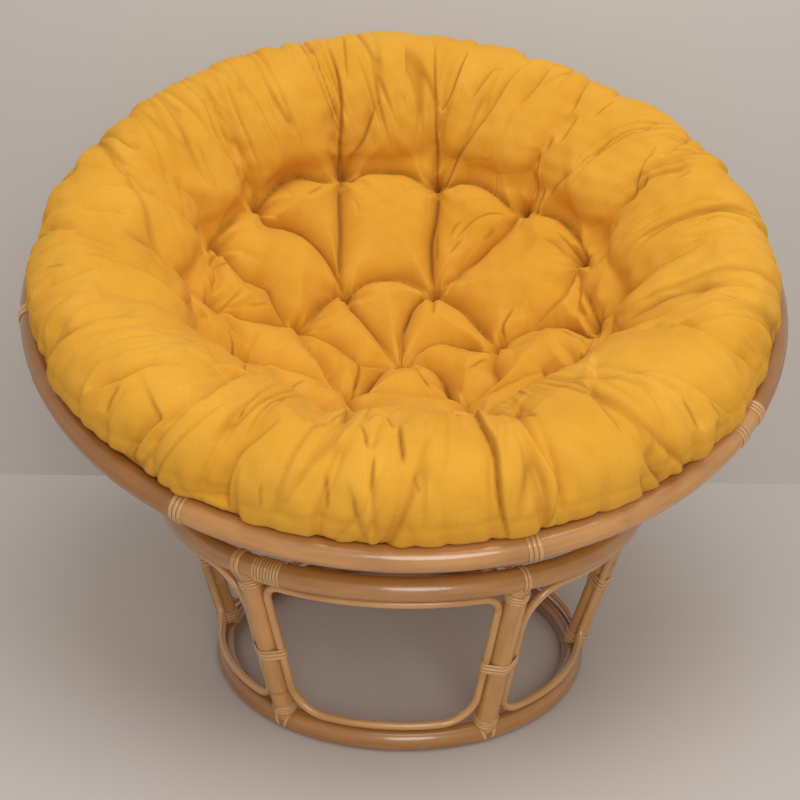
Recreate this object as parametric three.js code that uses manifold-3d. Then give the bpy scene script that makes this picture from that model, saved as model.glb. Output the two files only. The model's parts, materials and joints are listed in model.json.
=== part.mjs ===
// Papasan chair: a dished cushion in a round rattan bowl that rests, tilted, on a six-post rattan base.
// Millimetres, +Z up, -Y is the chair's front. The origin is on the floor, under the whole chair's middle.
import * as THREE from 'three';
import { mergeVertices } from 'three/addons/utils/BufferGeometryUtils.js';
import Module from 'manifold-3d';

const wasm = await Module();
wasm.setup();

// Base frame
const topRingRadius = 334;
const topRingHeight = 268;
const footRingRadius = 262;
const ringPole = 30;
const postPole = 30;
const postCount = 6;
const firstPostDeg = -35.4;
const waistShare = 0.47;
const loopPole = 10.5;
const frontTopCorner = 24;
const frontFootCorner = 44;
const sideTopCorner = 58;
const sideFootCorner = 28;

// Bowl frame
const rimOuter = 1100;
const rimPole = 34;
const bowlDepth = 354.4;
const ribPole = 16;
const hoopPole = 16;
const midHoopRadius = 390;
const bottomHoopRadius = 150;
const ribTail = 14;
const ribDegrees = [-76, -29.5, 15.5, 51, 100, 149, -164.5, -120];
const rimOverRing = 31.8;

// Cane peel that binds the joints
const peelThick = 1.4;
const peelWide = 5;
const peelFine = 3.6;
const turnGap = 0.8;
const endTurns = 2.5;
const waistTurns = 2.5;
const scarfTurns = 6;
const strapTurns = 0.5;

// Cushion
const crestInset = 71;
const rollHalfWidth = 73;
const rollHalfHeight = 72;
const rollRise = 41;
const facePower = 1.25;
const seatDrop = 146;
const seatPower = 1.9;
const tuftInset = 149;
const outerTuftCount = 12;
const innerTuftShare = 0.511;
const innerTuftCount = 6;
const tuftSink = 62;
const tuftSpread = 34;
const channelSink = 32;
const channelSpread = 24;
const petalSink = 26;
const rimReach = 68;

// Rows over the cushion's roll: the share of a half turn round its section, and of its channels' depth there
const rollShares = [
  [0.1, 1], [0.2, 1], [0.33, 0.9], [0.5, 0.75], [0.63, 0.6], [0.76, 0.5], [0.88, 0.35], [1, 0.2], [1.06, 0],
];
// Rows where the cushion rests on the rim, as shares of a turn round the rim's section
const rimRestShares = [1 / 3, 11 / 24];

// Clearances
const jointGap = 0.3;
const hoopGap = 0.5;
const cushionGap = 0.5;

// Facets
const poleSides = 10;
const smallSides = 8;
const postSides = 12;
const ringSegments = 48;
const rimSegments = 72;
const bottomHoopSegments = 24;
const ribSteps = 12;
const turnSteps = 10;
const loopArcSteps = 3;
const postArcSteps = 2;
const cornerSteps = 4;
const runSteps = 4;
const seatRings = 12;
const weldShare = 0.01;

// How far a section's first corner is turned from -Y, as a share of one side
const flatShare = 0.5;
const cornerShare = 0;

const turn = 2 * Math.PI;
const degree = turn / 360;
const up = new THREE.Vector3(0, 0, 1);

// Sizes that follow from the ones above
const ringTube = ringPole / 2;
const postTube = postPole / 2;
const loopTube = loopPole / 2;
const rimTube = rimPole / 2;
const ribTube = ribPole / 2;
const hoopTube = hoopPole / 2;
const wrapped = (tube) => (tube + jointGap) / Math.cos(turn / turnSteps / 2) + peelThick;
const footRingHeight = ringTube * Math.cos(turn / poleSides / 2);
const rimRadius = rimOuter / 2 - rimTube;
const ribSphere = (rimRadius ** 2 + bowlDepth ** 2) / (2 * bowlDepth);
const rimDepth = ribSphere - bowlDepth;
const hoopSphere = ribSphere - ribTube - hoopTube - hoopGap;
const cushionSphere = hoopSphere - hoopTube - cushionGap;
const restRadius = ribSphere + ribTube + jointGap + wrapped(ringTube);
const sphereHeight = topRingHeight + Math.sqrt(restRadius ** 2 - topRingRadius ** 2);
const cushionCrest = rimRadius - crestInset;
const outerTufts = cushionCrest - tuftInset;
const innerTufts = outerTufts * innerTuftShare;
const crestHeight = rollRise + rollHalfHeight;
const loopOffset = postTube + jointGap + loopTube;
const loopDrop = wrapped(ringTube) + jointGap + loopTube;
const coneSlope = (topRingRadius - footRingRadius) / (topRingHeight - footRingHeight);
const coneRadius = (z) => footRingRadius + coneSlope * (z - footRingHeight);
const coneStep = loopDrop / Math.hypot(1, coneSlope);

const poleMaterial = new THREE.MeshStandardMaterial({ color: 0xc08a4e, roughness: 0.35, metalness: 0 });
const caneMaterial = new THREE.MeshStandardMaterial({ color: 0xcf9f63, roughness: 0.4, metalness: 0 });
const peelMaterial = new THREE.MeshStandardMaterial({ color: 0xd9b27a, roughness: 0.45, metalness: 0 });
const clothMaterial = new THREE.MeshStandardMaterial({ color: 0xe2a434, roughness: 0.9, metalness: 0 });

// A point at an angle from the front, turning towards +X
function polar(radius, angle, z) {
  return new THREE.Vector3(radius * Math.sin(angle), -radius * Math.cos(angle), z);
}

function named(name, geometry, material) {
  const mesh = new THREE.Mesh(geometry, material);
  mesh.name = name;
  return mesh;
}

// Corners of a round section: with a flat side turned to -Y where shift is a half, else with a corner there
function sectionPoints(tube, sides, shift) {
  return Array.from({ length: sides }, (_, i) => {
    const a = ((i + shift) * turn) / sides - turn / 4;
    return new THREE.Vector2(tube * Math.cos(a), tube * Math.sin(a));
  });
}

// A pole bent into a closed ring about Z, its centre line at the given height
function ringGeometry(radius, tube, height, sides, segments, shift = flatShare) {
  const profile = sectionPoints(tube, sides, shift).map((p) => new THREE.Vector2(radius + p.x, p.y));
  profile.push(profile[0].clone());
  return new THREE.LatheGeometry(profile, segments).rotateX(turn / 4).translate(0, 0, height);
}

function signedVolume(points, faces) {
  let sum = 0;
  for (let i = 0; i < faces.length; i += 3) {
    const [a, b, c] = [points[faces[i]], points[faces[i + 1]], points[faces[i + 2]]];
    sum += a.dot(b.clone().cross(c));
  }
  return sum / 6;
}

// A closed surface from points and triangles, turned to face out
function closedGeometry(points, faces) {
  const index = signedVolume(points, faces) < 0 ? faces.slice().reverse() : faces;
  const geometry = new THREE.BufferGeometry().setFromPoints(points);
  geometry.setIndex(index);
  geometry.computeVertexNormals();
  return geometry;
}

// Joins sections of equal length into a skin, closed end to end or capped
function skinGeometry(sections, closed) {
  const sides = sections[0].length;
  const faces = [];
  const last = closed ? sections.length : sections.length - 1;
  for (let i = 0; i < last; i++) {
    const here = i * sides;
    const next = ((i + 1) % sections.length) * sides;
    for (let j = 0; j < sides; j++) {
      const k = (j + 1) % sides;
      faces.push(here + j, next + j, next + k, here + j, next + k, here + k);
    }
  }
  if (!closed) {
    const end = (sections.length - 1) * sides;
    for (let j = 1; j < sides - 1; j++) {
      faces.push(0, j, j + 1, end, end + j + 1, end + j);
    }
  }
  return closedGeometry(sections.flat(), faces);
}

function toSolid(geometry) {
  const bare = geometry.clone();
  bare.deleteAttribute('normal');
  bare.deleteAttribute('uv');
  const merged = mergeVertices(bare, jointGap * weldShare);
  return new wasm.Manifold(new wasm.Mesh({
    numProp: 3,
    vertProperties: Float32Array.from(merged.attributes.position.array),
    triVerts: Uint32Array.from(merged.index.array),
  }));
}

function fromSolid(solid) {
  const mesh = solid.getMesh();
  const geometry = new THREE.BufferGeometry();
  geometry.setAttribute('position', new THREE.BufferAttribute(mesh.vertProperties, 3));
  geometry.setIndex(new THREE.BufferAttribute(mesh.triVerts, 1));
  geometry.computeVertexNormals();
  return geometry;
}

// Posts
const postAngle = (k) => (firstPostDeg + (360 / postCount) * k) * degree;

function postLine(k) {
  const foot = polar(footRingRadius, postAngle(k), footRingHeight);
  const head = polar(topRingRadius, postAngle(k), topRingHeight);
  const along = head.clone().sub(foot).normalize();
  const across = polar(1, postAngle(k) + turn / 4, 0);
  const out = across.clone().cross(along);
  return { foot, head, along, across, out, length: head.distanceTo(foot) };
}

// The rings swelled by the joint gap, which cut the saddles in the posts' ends
const saddleTube = ringTube + jointGap / Math.cos(turn / poleSides / 2);
const saddles = [[topRingRadius, topRingHeight], [footRingRadius, footRingHeight]].map(
  ([radius, height]) => toSolid(ringGeometry(radius, saddleTube, height, poleSides, ringSegments)),
);

function postGeometry(k) {
  const line = postLine(k);
  const pole = new THREE.CylinderGeometry(postTube, postTube, line.length, postSides);
  const frame = new THREE.Matrix4().makeBasis(line.across, line.along, line.out);
  frame.setPosition(line.foot.clone().lerp(line.head, 0.5));
  const whole = toSolid(pole.applyMatrix4(frame));
  const pieces = whole.subtract(saddles[0]).subtract(saddles[1]).decompose();
  const middle = pieces.sort((a, b) => b.volume() - a.volume())[0];
  return fromSolid(middle);
}

// Panel loops: one thin cane bent round each opening between two posts
function loopPath(k, topCorner, footCorner) {
  const low = footRingHeight + coneStep;
  const high = topRingHeight - coneStep;
  const half = postAngle(k + 1) / 2 - postAngle(k) / 2;
  const middle = (postAngle(k + 1) + postAngle(k)) / 2;
  const points = [];
  const corner = (sign, z, radius, start) => {
    for (let i = 0; i <= cornerSteps; i++) {
      const a = start + (i / cornerSteps) * turn / 4;
      const height = z + radius * Math.sin(a);
      const inset = radius - radius * Math.abs(Math.cos(a));
      points.push({ angle: middle + sign * (half - (loopOffset + inset) / coneRadius(height)), z: height });
    }
  };
  const run = (z, from, to) => {
    for (let i = 1; i < runSteps; i++) {
      points.push({ angle: from + ((to - from) * i) / runSteps, z });
    }
  };
  corner(1, low + footCorner, footCorner, -turn / 4);
  corner(1, high - topCorner, topCorner, 0);
  const topEnd = points[points.length - 1].angle;
  run(high, topEnd, 2 * middle - topEnd);
  corner(-1, high - topCorner, topCorner, turn / 4);
  corner(-1, low + footCorner, footCorner, turn / 2);
  const footEnd = points[points.length - 1].angle;
  run(low, footEnd, 2 * middle - footEnd);
  return points;
}

function loopGeometry(k, topCorner, footCorner) {
  const path = loopPath(k, topCorner, footCorner);
  const centres = path.map((p) => polar(coneRadius(p.z), p.angle, p.z));
  const sections = centres.map((centre, i) => {
    const before = centres[(i + centres.length - 1) % centres.length];
    const after = centres[(i + 1) % centres.length];
    const along = after.clone().sub(before).normalize();
    const side = polar(1, path[i].angle, 0).cross(along).normalize();
    const out = along.clone().cross(side);
    return Array.from({ length: smallSides }, (_, j) => {
      const a = (j / smallSides) * turn;
      const beside = side.clone().multiplyScalar(loopTube * Math.cos(a));
      return centre.clone().add(beside).addScaledVector(out, loopTube * Math.sin(a));
    });
  });
  return skinGeometry(sections, true);
}

// Bindings: a flat strip wound round an outline while it moves along a spine
function circleOutline(tube, start) {
  const radius = (tube + jointGap) / Math.cos(turn / turnSteps / 2);
  return Array.from({ length: turnSteps }, (_, i) => {
    const a = start + (i / turnSteps) * turn;
    return { x: radius * Math.cos(a), y: radius * Math.sin(a), nx: Math.cos(a), ny: Math.sin(a) };
  });
}

function arcOutline(centre, tube, from, to, steps) {
  const radius = (tube + jointGap) / Math.cos((to - from) / steps / 2);
  return Array.from({ length: steps + 1 }, (_, i) => {
    const a = from + ((to - from) * i) / steps;
    const [nx, ny] = [Math.cos(a), Math.sin(a)];
    return { x: centre[0] + radius * nx, y: centre[1] + radius * ny, nx, ny };
  });
}

// The outline round a post and the loops on both its sides
function waistOutline(z) {
  const inward = coneRadius(z) - Math.sqrt(coneRadius(z) ** 2 - loopOffset ** 2);
  const lean = -Math.atan2(inward, loopOffset);
  const half = Math.acos((postTube - loopTube) / Math.hypot(loopOffset, inward));
  const beside = (sign, middle) => {
    return arcOutline([sign * loopOffset, -inward], loopTube, middle - half, middle + half, loopArcSteps);
  };
  const over = (from, to) => arcOutline([0, 0], postTube, from, to, postArcSteps);
  const [right, left] = [lean, turn / 2 - lean];
  return [
    ...beside(1, right), ...over(right + half, left - half),
    ...beside(-1, left), ...over(left + half, right + turn - half),
  ];
}

function stripSections(outline, turns, width, pitch, spineAt) {
  const count = Math.round(turns * outline.length);
  return Array.from({ length: count + 1 }, (_, i) => {
    const p = outline[i % outline.length];
    const at = spineAt(((i - count / 2) / outline.length) * pitch);
    const inside = at.origin.clone().addScaledVector(at.across, p.x).addScaledVector(at.out, p.y);
    const normal = at.across.clone().multiplyScalar(p.nx).addScaledVector(at.out, p.ny);
    const outside = inside.clone().addScaledVector(normal, peelThick);
    const edge = (point, sign) => point.clone().addScaledVector(at.along, (sign * width) / 2);
    return [edge(inside, -1), edge(inside, 1), edge(outside, 1), edge(outside, -1)];
  });
}

// The least distance between a strip's turns, on the corner points of its sections
function leastSelfGap(sections, turnLength) {
  let least = Infinity;
  for (let i = 0; i < sections.length; i++) {
    for (let j = i + Math.ceil(turnLength / 2); j < sections.length; j++) {
      for (const a of sections[i]) {
        for (const b of sections[j]) {
          least = Math.min(least, a.distanceTo(b));
        }
      }
    }
  }
  return least;
}

function bindingMesh(name, outline, turns, width, spineAt) {
  const sections = stripSections(outline, turns, width, width + turnGap, spineAt);
  console.log(`${name}: least gap to itself ${leastSelfGap(sections, outline.length).toFixed(2)} mm`);
  return named(name, skinGeometry(sections, false), peelMaterial);
}

function postSpine(k, middle) {
  const line = postLine(k);
  return (s) => ({ ...line, origin: line.foot.clone().addScaledVector(line.along, middle + s) });
}

// A ring's centre line as it is faceted
function ringSpine(radius, height, segments, middle) {
  const step = turn / segments;
  return (s) => {
    const angle = middle + s / radius;
    const offset = angle - (Math.floor(angle / step) + 0.5) * step;
    const facet = (radius * Math.cos(step / 2)) / Math.cos(offset);
    const along = polar(1, angle + turn / 4, 0);
    return { origin: polar(facet, angle, height), across: up, out: polar(1, angle, 0), along };
  };
}

const postNames = ['front_left', 'front_right', 'right', 'back_right', 'back_left', 'left'];
const panelNames = ['front', 'right_front', 'right_back', 'back', 'left_back', 'left_front'];

// A strap over the top ring has one of its corners turned to the sphere's centre, where a rib can rest on it
const strapStart = -Math.atan2(topRingRadius, sphereHeight - topRingHeight) - turn / turnSteps;

function endBindingReach(width) {
  return ringTube + jointGap + ((endTurns + 1) * (width + turnGap)) / 2 + jointGap;
}

function postBindings(k) {
  const line = postLine(k);
  const place = postNames[k];
  const head = line.length - endBindingReach(peelFine);
  const foot = endBindingReach(peelFine);
  const waist = line.length * waistShare;
  const around = waistOutline(line.foot.z + line.along.z * waist);
  const strap = circleOutline(ringTube, strapStart);
  const overRing = ringSpine(topRingRadius, topRingHeight, ringSegments, postAngle(k));
  const round = circleOutline(postTube, -turn / 2);
  return [
    bindingMesh(`head_binding_${place}`, round, endTurns, peelFine, postSpine(k, head)),
    bindingMesh(`foot_binding_${place}`, round, endTurns, peelFine, postSpine(k, foot)),
    bindingMesh(`waist_binding_${place}`, around, waistTurns, peelWide, postSpine(k, waist)),
    bindingMesh(`ring_strap_${place}`, strap, strapTurns, peelWide, overRing),
  ];
}

// The binding that covers the top ring's scarf joint, beside the front left post
function scarfBinding() {
  const run = ((scarfTurns + 1) * (peelFine + turnGap)) / 2;
  const middle = postAngle(0) + (postTube + loopTube + run) / topRingRadius;
  const spine = ringSpine(topRingRadius, topRingHeight, ringSegments, middle);
  return bindingMesh('scarf_binding', circleOutline(ringTube, 0), scarfTurns, peelFine, spine);
}

function baseGroup() {
  const base = new THREE.Group();
  const foot = ringGeometry(footRingRadius, ringTube, footRingHeight, poleSides, ringSegments);
  const top = ringGeometry(topRingRadius, ringTube, topRingHeight, poleSides, ringSegments);
  base.add(named('foot_ring', foot, poleMaterial), named('top_ring', top, poleMaterial));
  for (let k = 0; k < postCount; k++) {
    const corners = k === 0 ? [frontTopCorner, frontFootCorner] : [sideTopCorner, sideFootCorner];
    base.add(named(`post_${postNames[k]}`, postGeometry(k), poleMaterial));
    base.add(named(`panel_loop_${panelNames[k]}`, loopGeometry(k, ...corners), caneMaterial));
    base.add(...postBindings(k));
  }
  base.add(scarfBinding());
  return base;
}

// Bowl: everything lies about the sphere's centre, with the bowl's axis along Z
const rimPolar = Math.atan2(rimRadius, rimDepth);
const ribFrom = Math.asin(bottomHoopRadius / hoopSphere) - ribTail / ribSphere;
const ribTo = rimPolar - (wrapped(rimTube) + jointGap) / ribSphere;

// An arc of the ribs' sphere, from the bowl's bottom to its rim
class Meridian extends THREE.Curve {
  constructor(angle) {
    super();
    this.angle = angle;
  }

  getPoint(t, target = new THREE.Vector3()) {
    const a = ribFrom + (ribTo - ribFrom) * t;
    return target.copy(polar(ribSphere * Math.sin(a), this.angle, -ribSphere * Math.cos(a)));
  }
}

function ribGeometry(angle) {
  const section = new THREE.Shape(sectionPoints(ribTube, smallSides, cornerShare));
  const extrudePath = new Meridian(angle);
  return new THREE.ExtrudeGeometry(section, { steps: ribSteps, extrudePath, bevelEnabled: false });
}

function hoopGeometry(radius, segments) {
  const height = -Math.sqrt(hoopSphere ** 2 - radius ** 2);
  return ringGeometry(radius, hoopTube, height, smallSides, segments, cornerShare);
}

function bowlGroup() {
  const bowl = new THREE.Group();
  const rim = ringGeometry(rimRadius, rimTube, -rimDepth, poleSides, rimSegments);
  bowl.add(named('bowl_rim', rim, poleMaterial));
  bowl.add(named('bowl_mid_hoop', hoopGeometry(midHoopRadius, ringSegments), poleMaterial));
  bowl.add(named('bowl_bottom_hoop', hoopGeometry(bottomHoopRadius, bottomHoopSegments), poleMaterial));
  const round = circleOutline(rimTube, -turn / 4 - rimPolar);
  ribDegrees.forEach((degrees, i) => {
    const spine = ringSpine(rimRadius, -rimDepth, rimSegments, degrees * degree);
    bowl.add(named(`rib_${i + 1}`, ribGeometry(degrees * degree), poleMaterial));
    bowl.add(bindingMesh(`rim_binding_${i + 1}`, round, endTurns, peelWide, spine));
  });
  return bowl;
}

// Cushion: a tuft in the middle and two rings of tufts about it
function tuftRing(count, radius) {
  return Array.from({ length: count }, (_, i) => polar(radius, ((i + 0.5) * turn) / count, 0));
}

const tufts = {
  centre: new THREE.Vector3(),
  inner: tuftRing(innerTuftCount, innerTufts),
  outer: tuftRing(outerTuftCount, outerTufts),
};

// Stitched creases: from the middle out, and from each tuft to its neighbours
function creaseLines() {
  const lines = [];
  tufts.inner.forEach((tuft, i) => {
    lines.push([tufts.centre, tuft], [tuft, tufts.inner[(i + 1) % innerTuftCount]]);
    lines.push([tuft, tufts.outer[2 * i]], [tuft, tufts.outer[2 * i + 1]]);
  });
  tufts.outer.forEach((tuft, i) => lines.push([tuft, tufts.outer[(i + 1) % outerTuftCount]]));
  return lines.map(([a, b]) => new THREE.Line3(a, b));
}

const creases = creaseLines();
const bump = (distance, spread) => Math.exp(-((distance / spread) ** 2));

function seatSink(point) {
  const all = [tufts.centre, ...tufts.inner, ...tufts.outer];
  const atTuft = Math.min(...all.map((tuft) => tuft.distanceTo(point)));
  const onLine = (line) => line.closestPointToPoint(point, true, new THREE.Vector3()).distanceTo(point);
  const atCrease = Math.min(...creases.map(onLine));
  return Math.max(tuftSink * bump(atTuft, tuftSpread), channelSink * bump(atCrease, channelSpread));
}

// The seat's hollow, measured up from the rim's plane
function seatHeight(radius) {
  const share = radius / cushionCrest;
  return (seatDrop + crestHeight) * share ** seatPower - seatDrop;
}

function seatPoint(radius, angle) {
  const flat = polar(radius, angle, 0);
  return flat.setZ(seatHeight(radius) - seatSink(flat) - rimDepth);
}

// The roll's radius and height at an angle round its section: a steep face up from the outer tufts, then an ellipse
function rollSection(a) {
  const [c, s] = [Math.cos(a), Math.sin(a)];
  if (a >= turn / 4) return [cushionCrest - rollHalfWidth * c, rollRise + rollHalfHeight * s];
  const foot = seatHeight(outerTufts);
  return [cushionCrest - tuftInset * c ** facePower, foot + (crestHeight - foot) * s ** facePower];
}

// A channel runs out over the roll from each outer tuft and parts it into petals
function rollPoint(share, angle, depth) {
  const a = (share * turn) / 2;
  const [radius, height] = rollSection(a);
  const fromChannel = Math.abs((((angle / turn) * outerTuftCount) % 1) - 0.5) * 2;
  const sink = petalSink * depth * (1 - fromChannel) ** 2;
  return polar(radius + sink * Math.cos(a), angle, height - sink * Math.sin(a) - rimDepth);
}

function ringRow(count, pointAt) {
  return Array.from({ length: count }, (_, i) => pointAt((i / count) * turn));
}

// Rows of the roll go up its face, over its crest and down outside to the rim, which it rests against
function rollRows() {
  const rows = rollShares.map(([share, depth]) => {
    return ringRow(rimSegments, (angle) => rollPoint(share, angle, depth));
  });
  const [from, to] = rimRestShares;
  const rest = (wrapped(rimTube) + cushionGap) / Math.cos(((to - from) * turn) / 2);
  for (const share of rimRestShares) {
    const radius = rimRadius + rest * Math.cos(share * turn);
    const height = rest * Math.sin(share * turn) - rimDepth;
    rows.push(ringRow(rimSegments, (angle) => polar(radius, angle, height)));
  }
  return rows;
}

function seatRows() {
  const rows = [];
  for (let k = 1; k <= seatRings; k++) {
    const share = (k * 2) / seatRings;
    const radius = share <= 1 ? innerTufts * share : innerTufts + (outerTufts - innerTufts) * (share - 1);
    rows.push(ringRow(innerTuftCount * k, (angle) => seatPoint(radius, angle)));
  }
  return rows;
}

// Rows of the underside lie on the sphere that touches the hoops
function undersideRow(fromAxis, count) {
  return ringRow(count, (angle) => {
    return polar(cushionSphere * Math.sin(fromAxis), angle, -cushionSphere * Math.cos(fromAxis));
  });
}

function undersideRows() {
  return [
    undersideRow(rimPolar - rimReach / ribSphere, rimSegments),
    undersideRow(Math.asin(midHoopRadius / hoopSphere), ringSegments),
    undersideRow(Math.asin(bottomHoopRadius / hoopSphere), bottomHoopSegments),
  ];
}

// Triangles between two rings of points, each ring starting at the front
function zipFaces(inner, outer, innerStart, outerStart, faces) {
  let [i, j] = [0, 0];
  while (i < inner || j < outer) {
    const a = innerStart + (i % inner);
    const b = outerStart + (j % outer);
    if (j >= outer || (i < inner && (i + 1) / inner <= (j + 1) / outer)) {
      i += 1;
      faces.push(a, b, innerStart + (i % inner));
    } else {
      j += 1;
      faces.push(a, b, outerStart + (j % outer));
    }
  }
}

function cushionGeometry() {
  const rows = [...seatRows(), ...rollRows(), ...undersideRows()];
  const points = [seatPoint(0, 0), ...rows.flat(), new THREE.Vector3(0, 0, -cushionSphere)];
  const faces = [];
  let start = 1;
  rows.forEach((row, k) => {
    const before = rows[k - 1] ?? [points[0]];
    zipFaces(before.length, row.length, start - before.length, start, faces);
    start += row.length;
  });
  const last = rows[rows.length - 1];
  zipFaces(last.length, 1, start - last.length, start, faces);
  return closedGeometry(points, faces.filter((_, i) => !isThin(faces, i)));
}

// A triangle that names one point twice is left out
function isThin(faces, i) {
  const [a, b, c] = faces.slice(i - (i % 3), i - (i % 3) + 3);
  return a === b || b === c || a === c;
}

// The bowl tilts forward as far as leaves the rim clear of the top ring at the front
function tiltAngle() {
  const apart = rimOverRing + rimTube + ringTube;
  const cosine = (ribSphere ** 2 + restRadius ** 2 - apart ** 2) / (2 * ribSphere * restRadius);
  return rimPolar - Math.asin(topRingRadius / restRadius) - Math.acos(cosine);
}

const chair = new THREE.Group();
const tilted = new THREE.Group();
tilted.position.set(0, 0, sphereHeight);
tilted.rotation.x = tiltAngle();
tilted.add(bowlGroup(), named('seat_cushion', cushionGeometry(), clothMaterial));
chair.add(baseGroup(), tilted);

// The origin lies under the middle of the whole chair, as it stands with its bowl tilted
const extent = new THREE.Box3().setFromObject(chair, true);
chair.position.y = -extent.getCenter(new THREE.Vector3()).y;

export default chair;
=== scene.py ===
"""The looks of a papasan chair: a mustard cotton cushion in a round rattan bowl on an open rattan base.

Lengths are metres unless a name ends in _mm. The base stands about its own axis, and the bowl and
the cushion are worked out about the centre of the sphere that the ribs lie on, with the bowl's
axis along Z, and then tilted.
"""

import json
import math

import bpy
import numpy as np
from mathutils import Matrix, Vector


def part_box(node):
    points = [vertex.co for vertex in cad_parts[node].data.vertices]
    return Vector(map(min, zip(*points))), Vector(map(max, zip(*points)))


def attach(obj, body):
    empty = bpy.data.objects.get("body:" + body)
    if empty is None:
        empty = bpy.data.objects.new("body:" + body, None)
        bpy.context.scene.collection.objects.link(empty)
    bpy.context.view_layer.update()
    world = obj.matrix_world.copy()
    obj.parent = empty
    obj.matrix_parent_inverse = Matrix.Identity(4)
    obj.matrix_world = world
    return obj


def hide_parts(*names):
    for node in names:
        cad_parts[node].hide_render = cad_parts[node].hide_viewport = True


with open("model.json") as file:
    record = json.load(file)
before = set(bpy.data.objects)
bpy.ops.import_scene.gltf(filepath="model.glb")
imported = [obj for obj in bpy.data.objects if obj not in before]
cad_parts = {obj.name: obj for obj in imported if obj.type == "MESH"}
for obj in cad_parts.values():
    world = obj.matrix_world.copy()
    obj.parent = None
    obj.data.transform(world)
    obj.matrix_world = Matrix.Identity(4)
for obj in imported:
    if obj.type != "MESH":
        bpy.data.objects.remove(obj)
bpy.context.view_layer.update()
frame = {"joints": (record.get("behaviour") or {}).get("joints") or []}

MM = 0.001
TURN = 2 * math.pi
rng = np.random.default_rng(7)

# Sizes that the frame gives
ring_low, ring_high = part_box("top_ring")
foot_low, foot_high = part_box("foot_ring")
base_middle = np.array([0.0, (foot_low.y + foot_high.y) / 2, 0.0])
tilt_joint, lift_joint = frame["joints"]
sphere_centre = np.array(tilt_joint["pos_m"])
bowl_axis = np.array(lift_joint["axis"])
tilt = math.atan2(-bowl_axis[1], bowl_axis[2])

# Rattan poles
node_spacing = 270 * MM
node_ridge = 7 * MM
node_mark = 1.6 * MM
ridge_share = 0.035

# Base frame
pole = 15 * MM
top_ring = ring_high.x - pole
top_height = (ring_low.z + ring_high.z) / 2
foot_ring = foot_high.x - pole
foot_height = (foot_low.z + foot_high.z) / 2
first_post = math.radians(-35.4)
post_names = ["front_left", "front_right", "right", "back_right", "back_left", "left"]
panel_names = ["front", "right_front", "right_back", "back", "left_back", "left_front"]
loop_pole = 5.25 * MM
loop_drop = 24.3 * MM
loop_gap = 0.3 * MM
front_corners = (24 * MM, 44 * MM)
side_corners = (58 * MM, 28 * MM)
waist_share = 0.47

# Bowl frame
rim_pole = 17 * MM
rim_radius = 533 * MM
rib_pole = 8 * MM
rib_sphere = 578 * MM
rim_depth = 223.6 * MM
rib_end_gap = 2 * MM
hoop_sphere = 561.5 * MM
hoop_radii = {"bowl_mid_hoop": 390 * MM, "bowl_bottom_hoop": 150 * MM}
rib_degrees = [-76, -29.5, 15.5, 51, 100, 149, -164.5, -120]
rib_tail = 14 * MM

# Cane peel: half its width and its height over the pole, as shares of its width and thickness
peel_shares = [(-0.5, 0.0), (0.5, 0.0), (0.5, 0.45), (0.32, 0.9), (0.0, 1.0), (-0.32, 0.9), (-0.5, 0.45)]
peel_thick = 1.3 * MM
peel_wide = 5 * MM
peel_fine = 3.6 * MM
snug_gap = 0.2 * MM
fine_pitch = 4.2 * MM
waist_pitch = 5.6 * MM
waist_slant = 3 * MM
rim_pitch = 5.9 * MM
scarf_pitch = 4.3 * MM
scarf_place = 39 * MM
end_wrap_reach = 8 * MM
extra_wrap_degrees = 56

# The two strips of a strap over the top ring: their width, and how far from the post's middle they meet
strap_gap = 0.6 * MM
first_strap = (6.4 * MM, -8 * MM)
other_straps = (4.2 * MM, 2 * MM)

# The two strips that spread over the foot ring
foot_strap_place = 6.5 * MM
foot_strap_slant = 4.5 * MM

# Lashings where the ribs cross the hoops
lash_wide = 3.4 * MM
lash_pitch = 3.6 * MM
lash_stretch = 3.5 * MM

# How brown the rings' poles are at the front and on the rest of the way round, and in how many degrees that
# changes. The brown is painted shade, where the cushion and the bowl shade the rings: the rim is pale from
# one joint to the other and browner from there.
ring_shade_tones = {
    "bowl_rim_pole": (0.25, 1.9, 1),
    "top_ring_pole": (0.9, 1.3, 30),
    "foot_ring_pole": (1.3, 2.0, 30),
}
pale_from, pale_to = rib_degrees[1], extra_wrap_degrees


def linear(code):
    """An sRGB hex colour as linear red, green, blue and an alpha of 1."""
    parts = np.array([int(code[i : i + 2], 16) for i in (1, 3, 5)]) / 255
    low, high = parts / 12.92, ((parts + 0.055) / 1.055) ** 2.4
    return (*np.where(parts <= 0.04045, low, high), 1.0)


def add_node(tree, kind, sockets=None, **settings):
    """Adds a shader node. A socket's value is a number, a colour or another node's output, which is
    linked."""
    node = tree.nodes.new(kind)
    for name, value in settings.items():
        setattr(node, name, value)
    for key, value in (sockets or {}).items():
        if isinstance(value, bpy.types.NodeSocket):
            tree.links.new(value, node.inputs[key])
        else:
            node.inputs[key].default_value = value
    return node


def new_material(name):
    """An empty node material with its output, and the tree to fill."""
    material = bpy.data.materials.new(name)
    material.use_nodes = True
    material.node_tree.nodes.clear()
    return material, material.node_tree


# The photograph's viewpoint, from the middle of the base

focal_px = 1085
frame_px = 800
sensor_mm = 36
view_place = (-24 * MM, -1482 * MM, 863 * MM)
view_pitch, view_yaw, view_roll = (math.radians(a) for a in (17.5, 0.71, 0.99))


def camera_frame():
    """The camera's place and its right, up and ahead directions."""
    flat = math.cos(view_pitch)
    ahead = np.array([math.sin(view_yaw) * flat, math.cos(view_yaw) * flat, -math.sin(view_pitch)])
    right = np.array([math.cos(view_yaw), -math.sin(view_yaw), 0.0])
    up = np.cross(right, ahead)
    c, s = math.cos(view_roll), math.sin(view_roll)
    return np.array(view_place) + base_middle, c * right + s * up, c * up - s * right, ahead


# Shapes


def polar(radius, angle, height=0.0):
    """Points at an angle from the front (-Y) turning towards +X."""
    radius, angle, height = np.broadcast_arrays(radius, angle, height)
    return np.stack([radius * np.sin(angle), -radius * np.cos(angle), height], -1)


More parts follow.
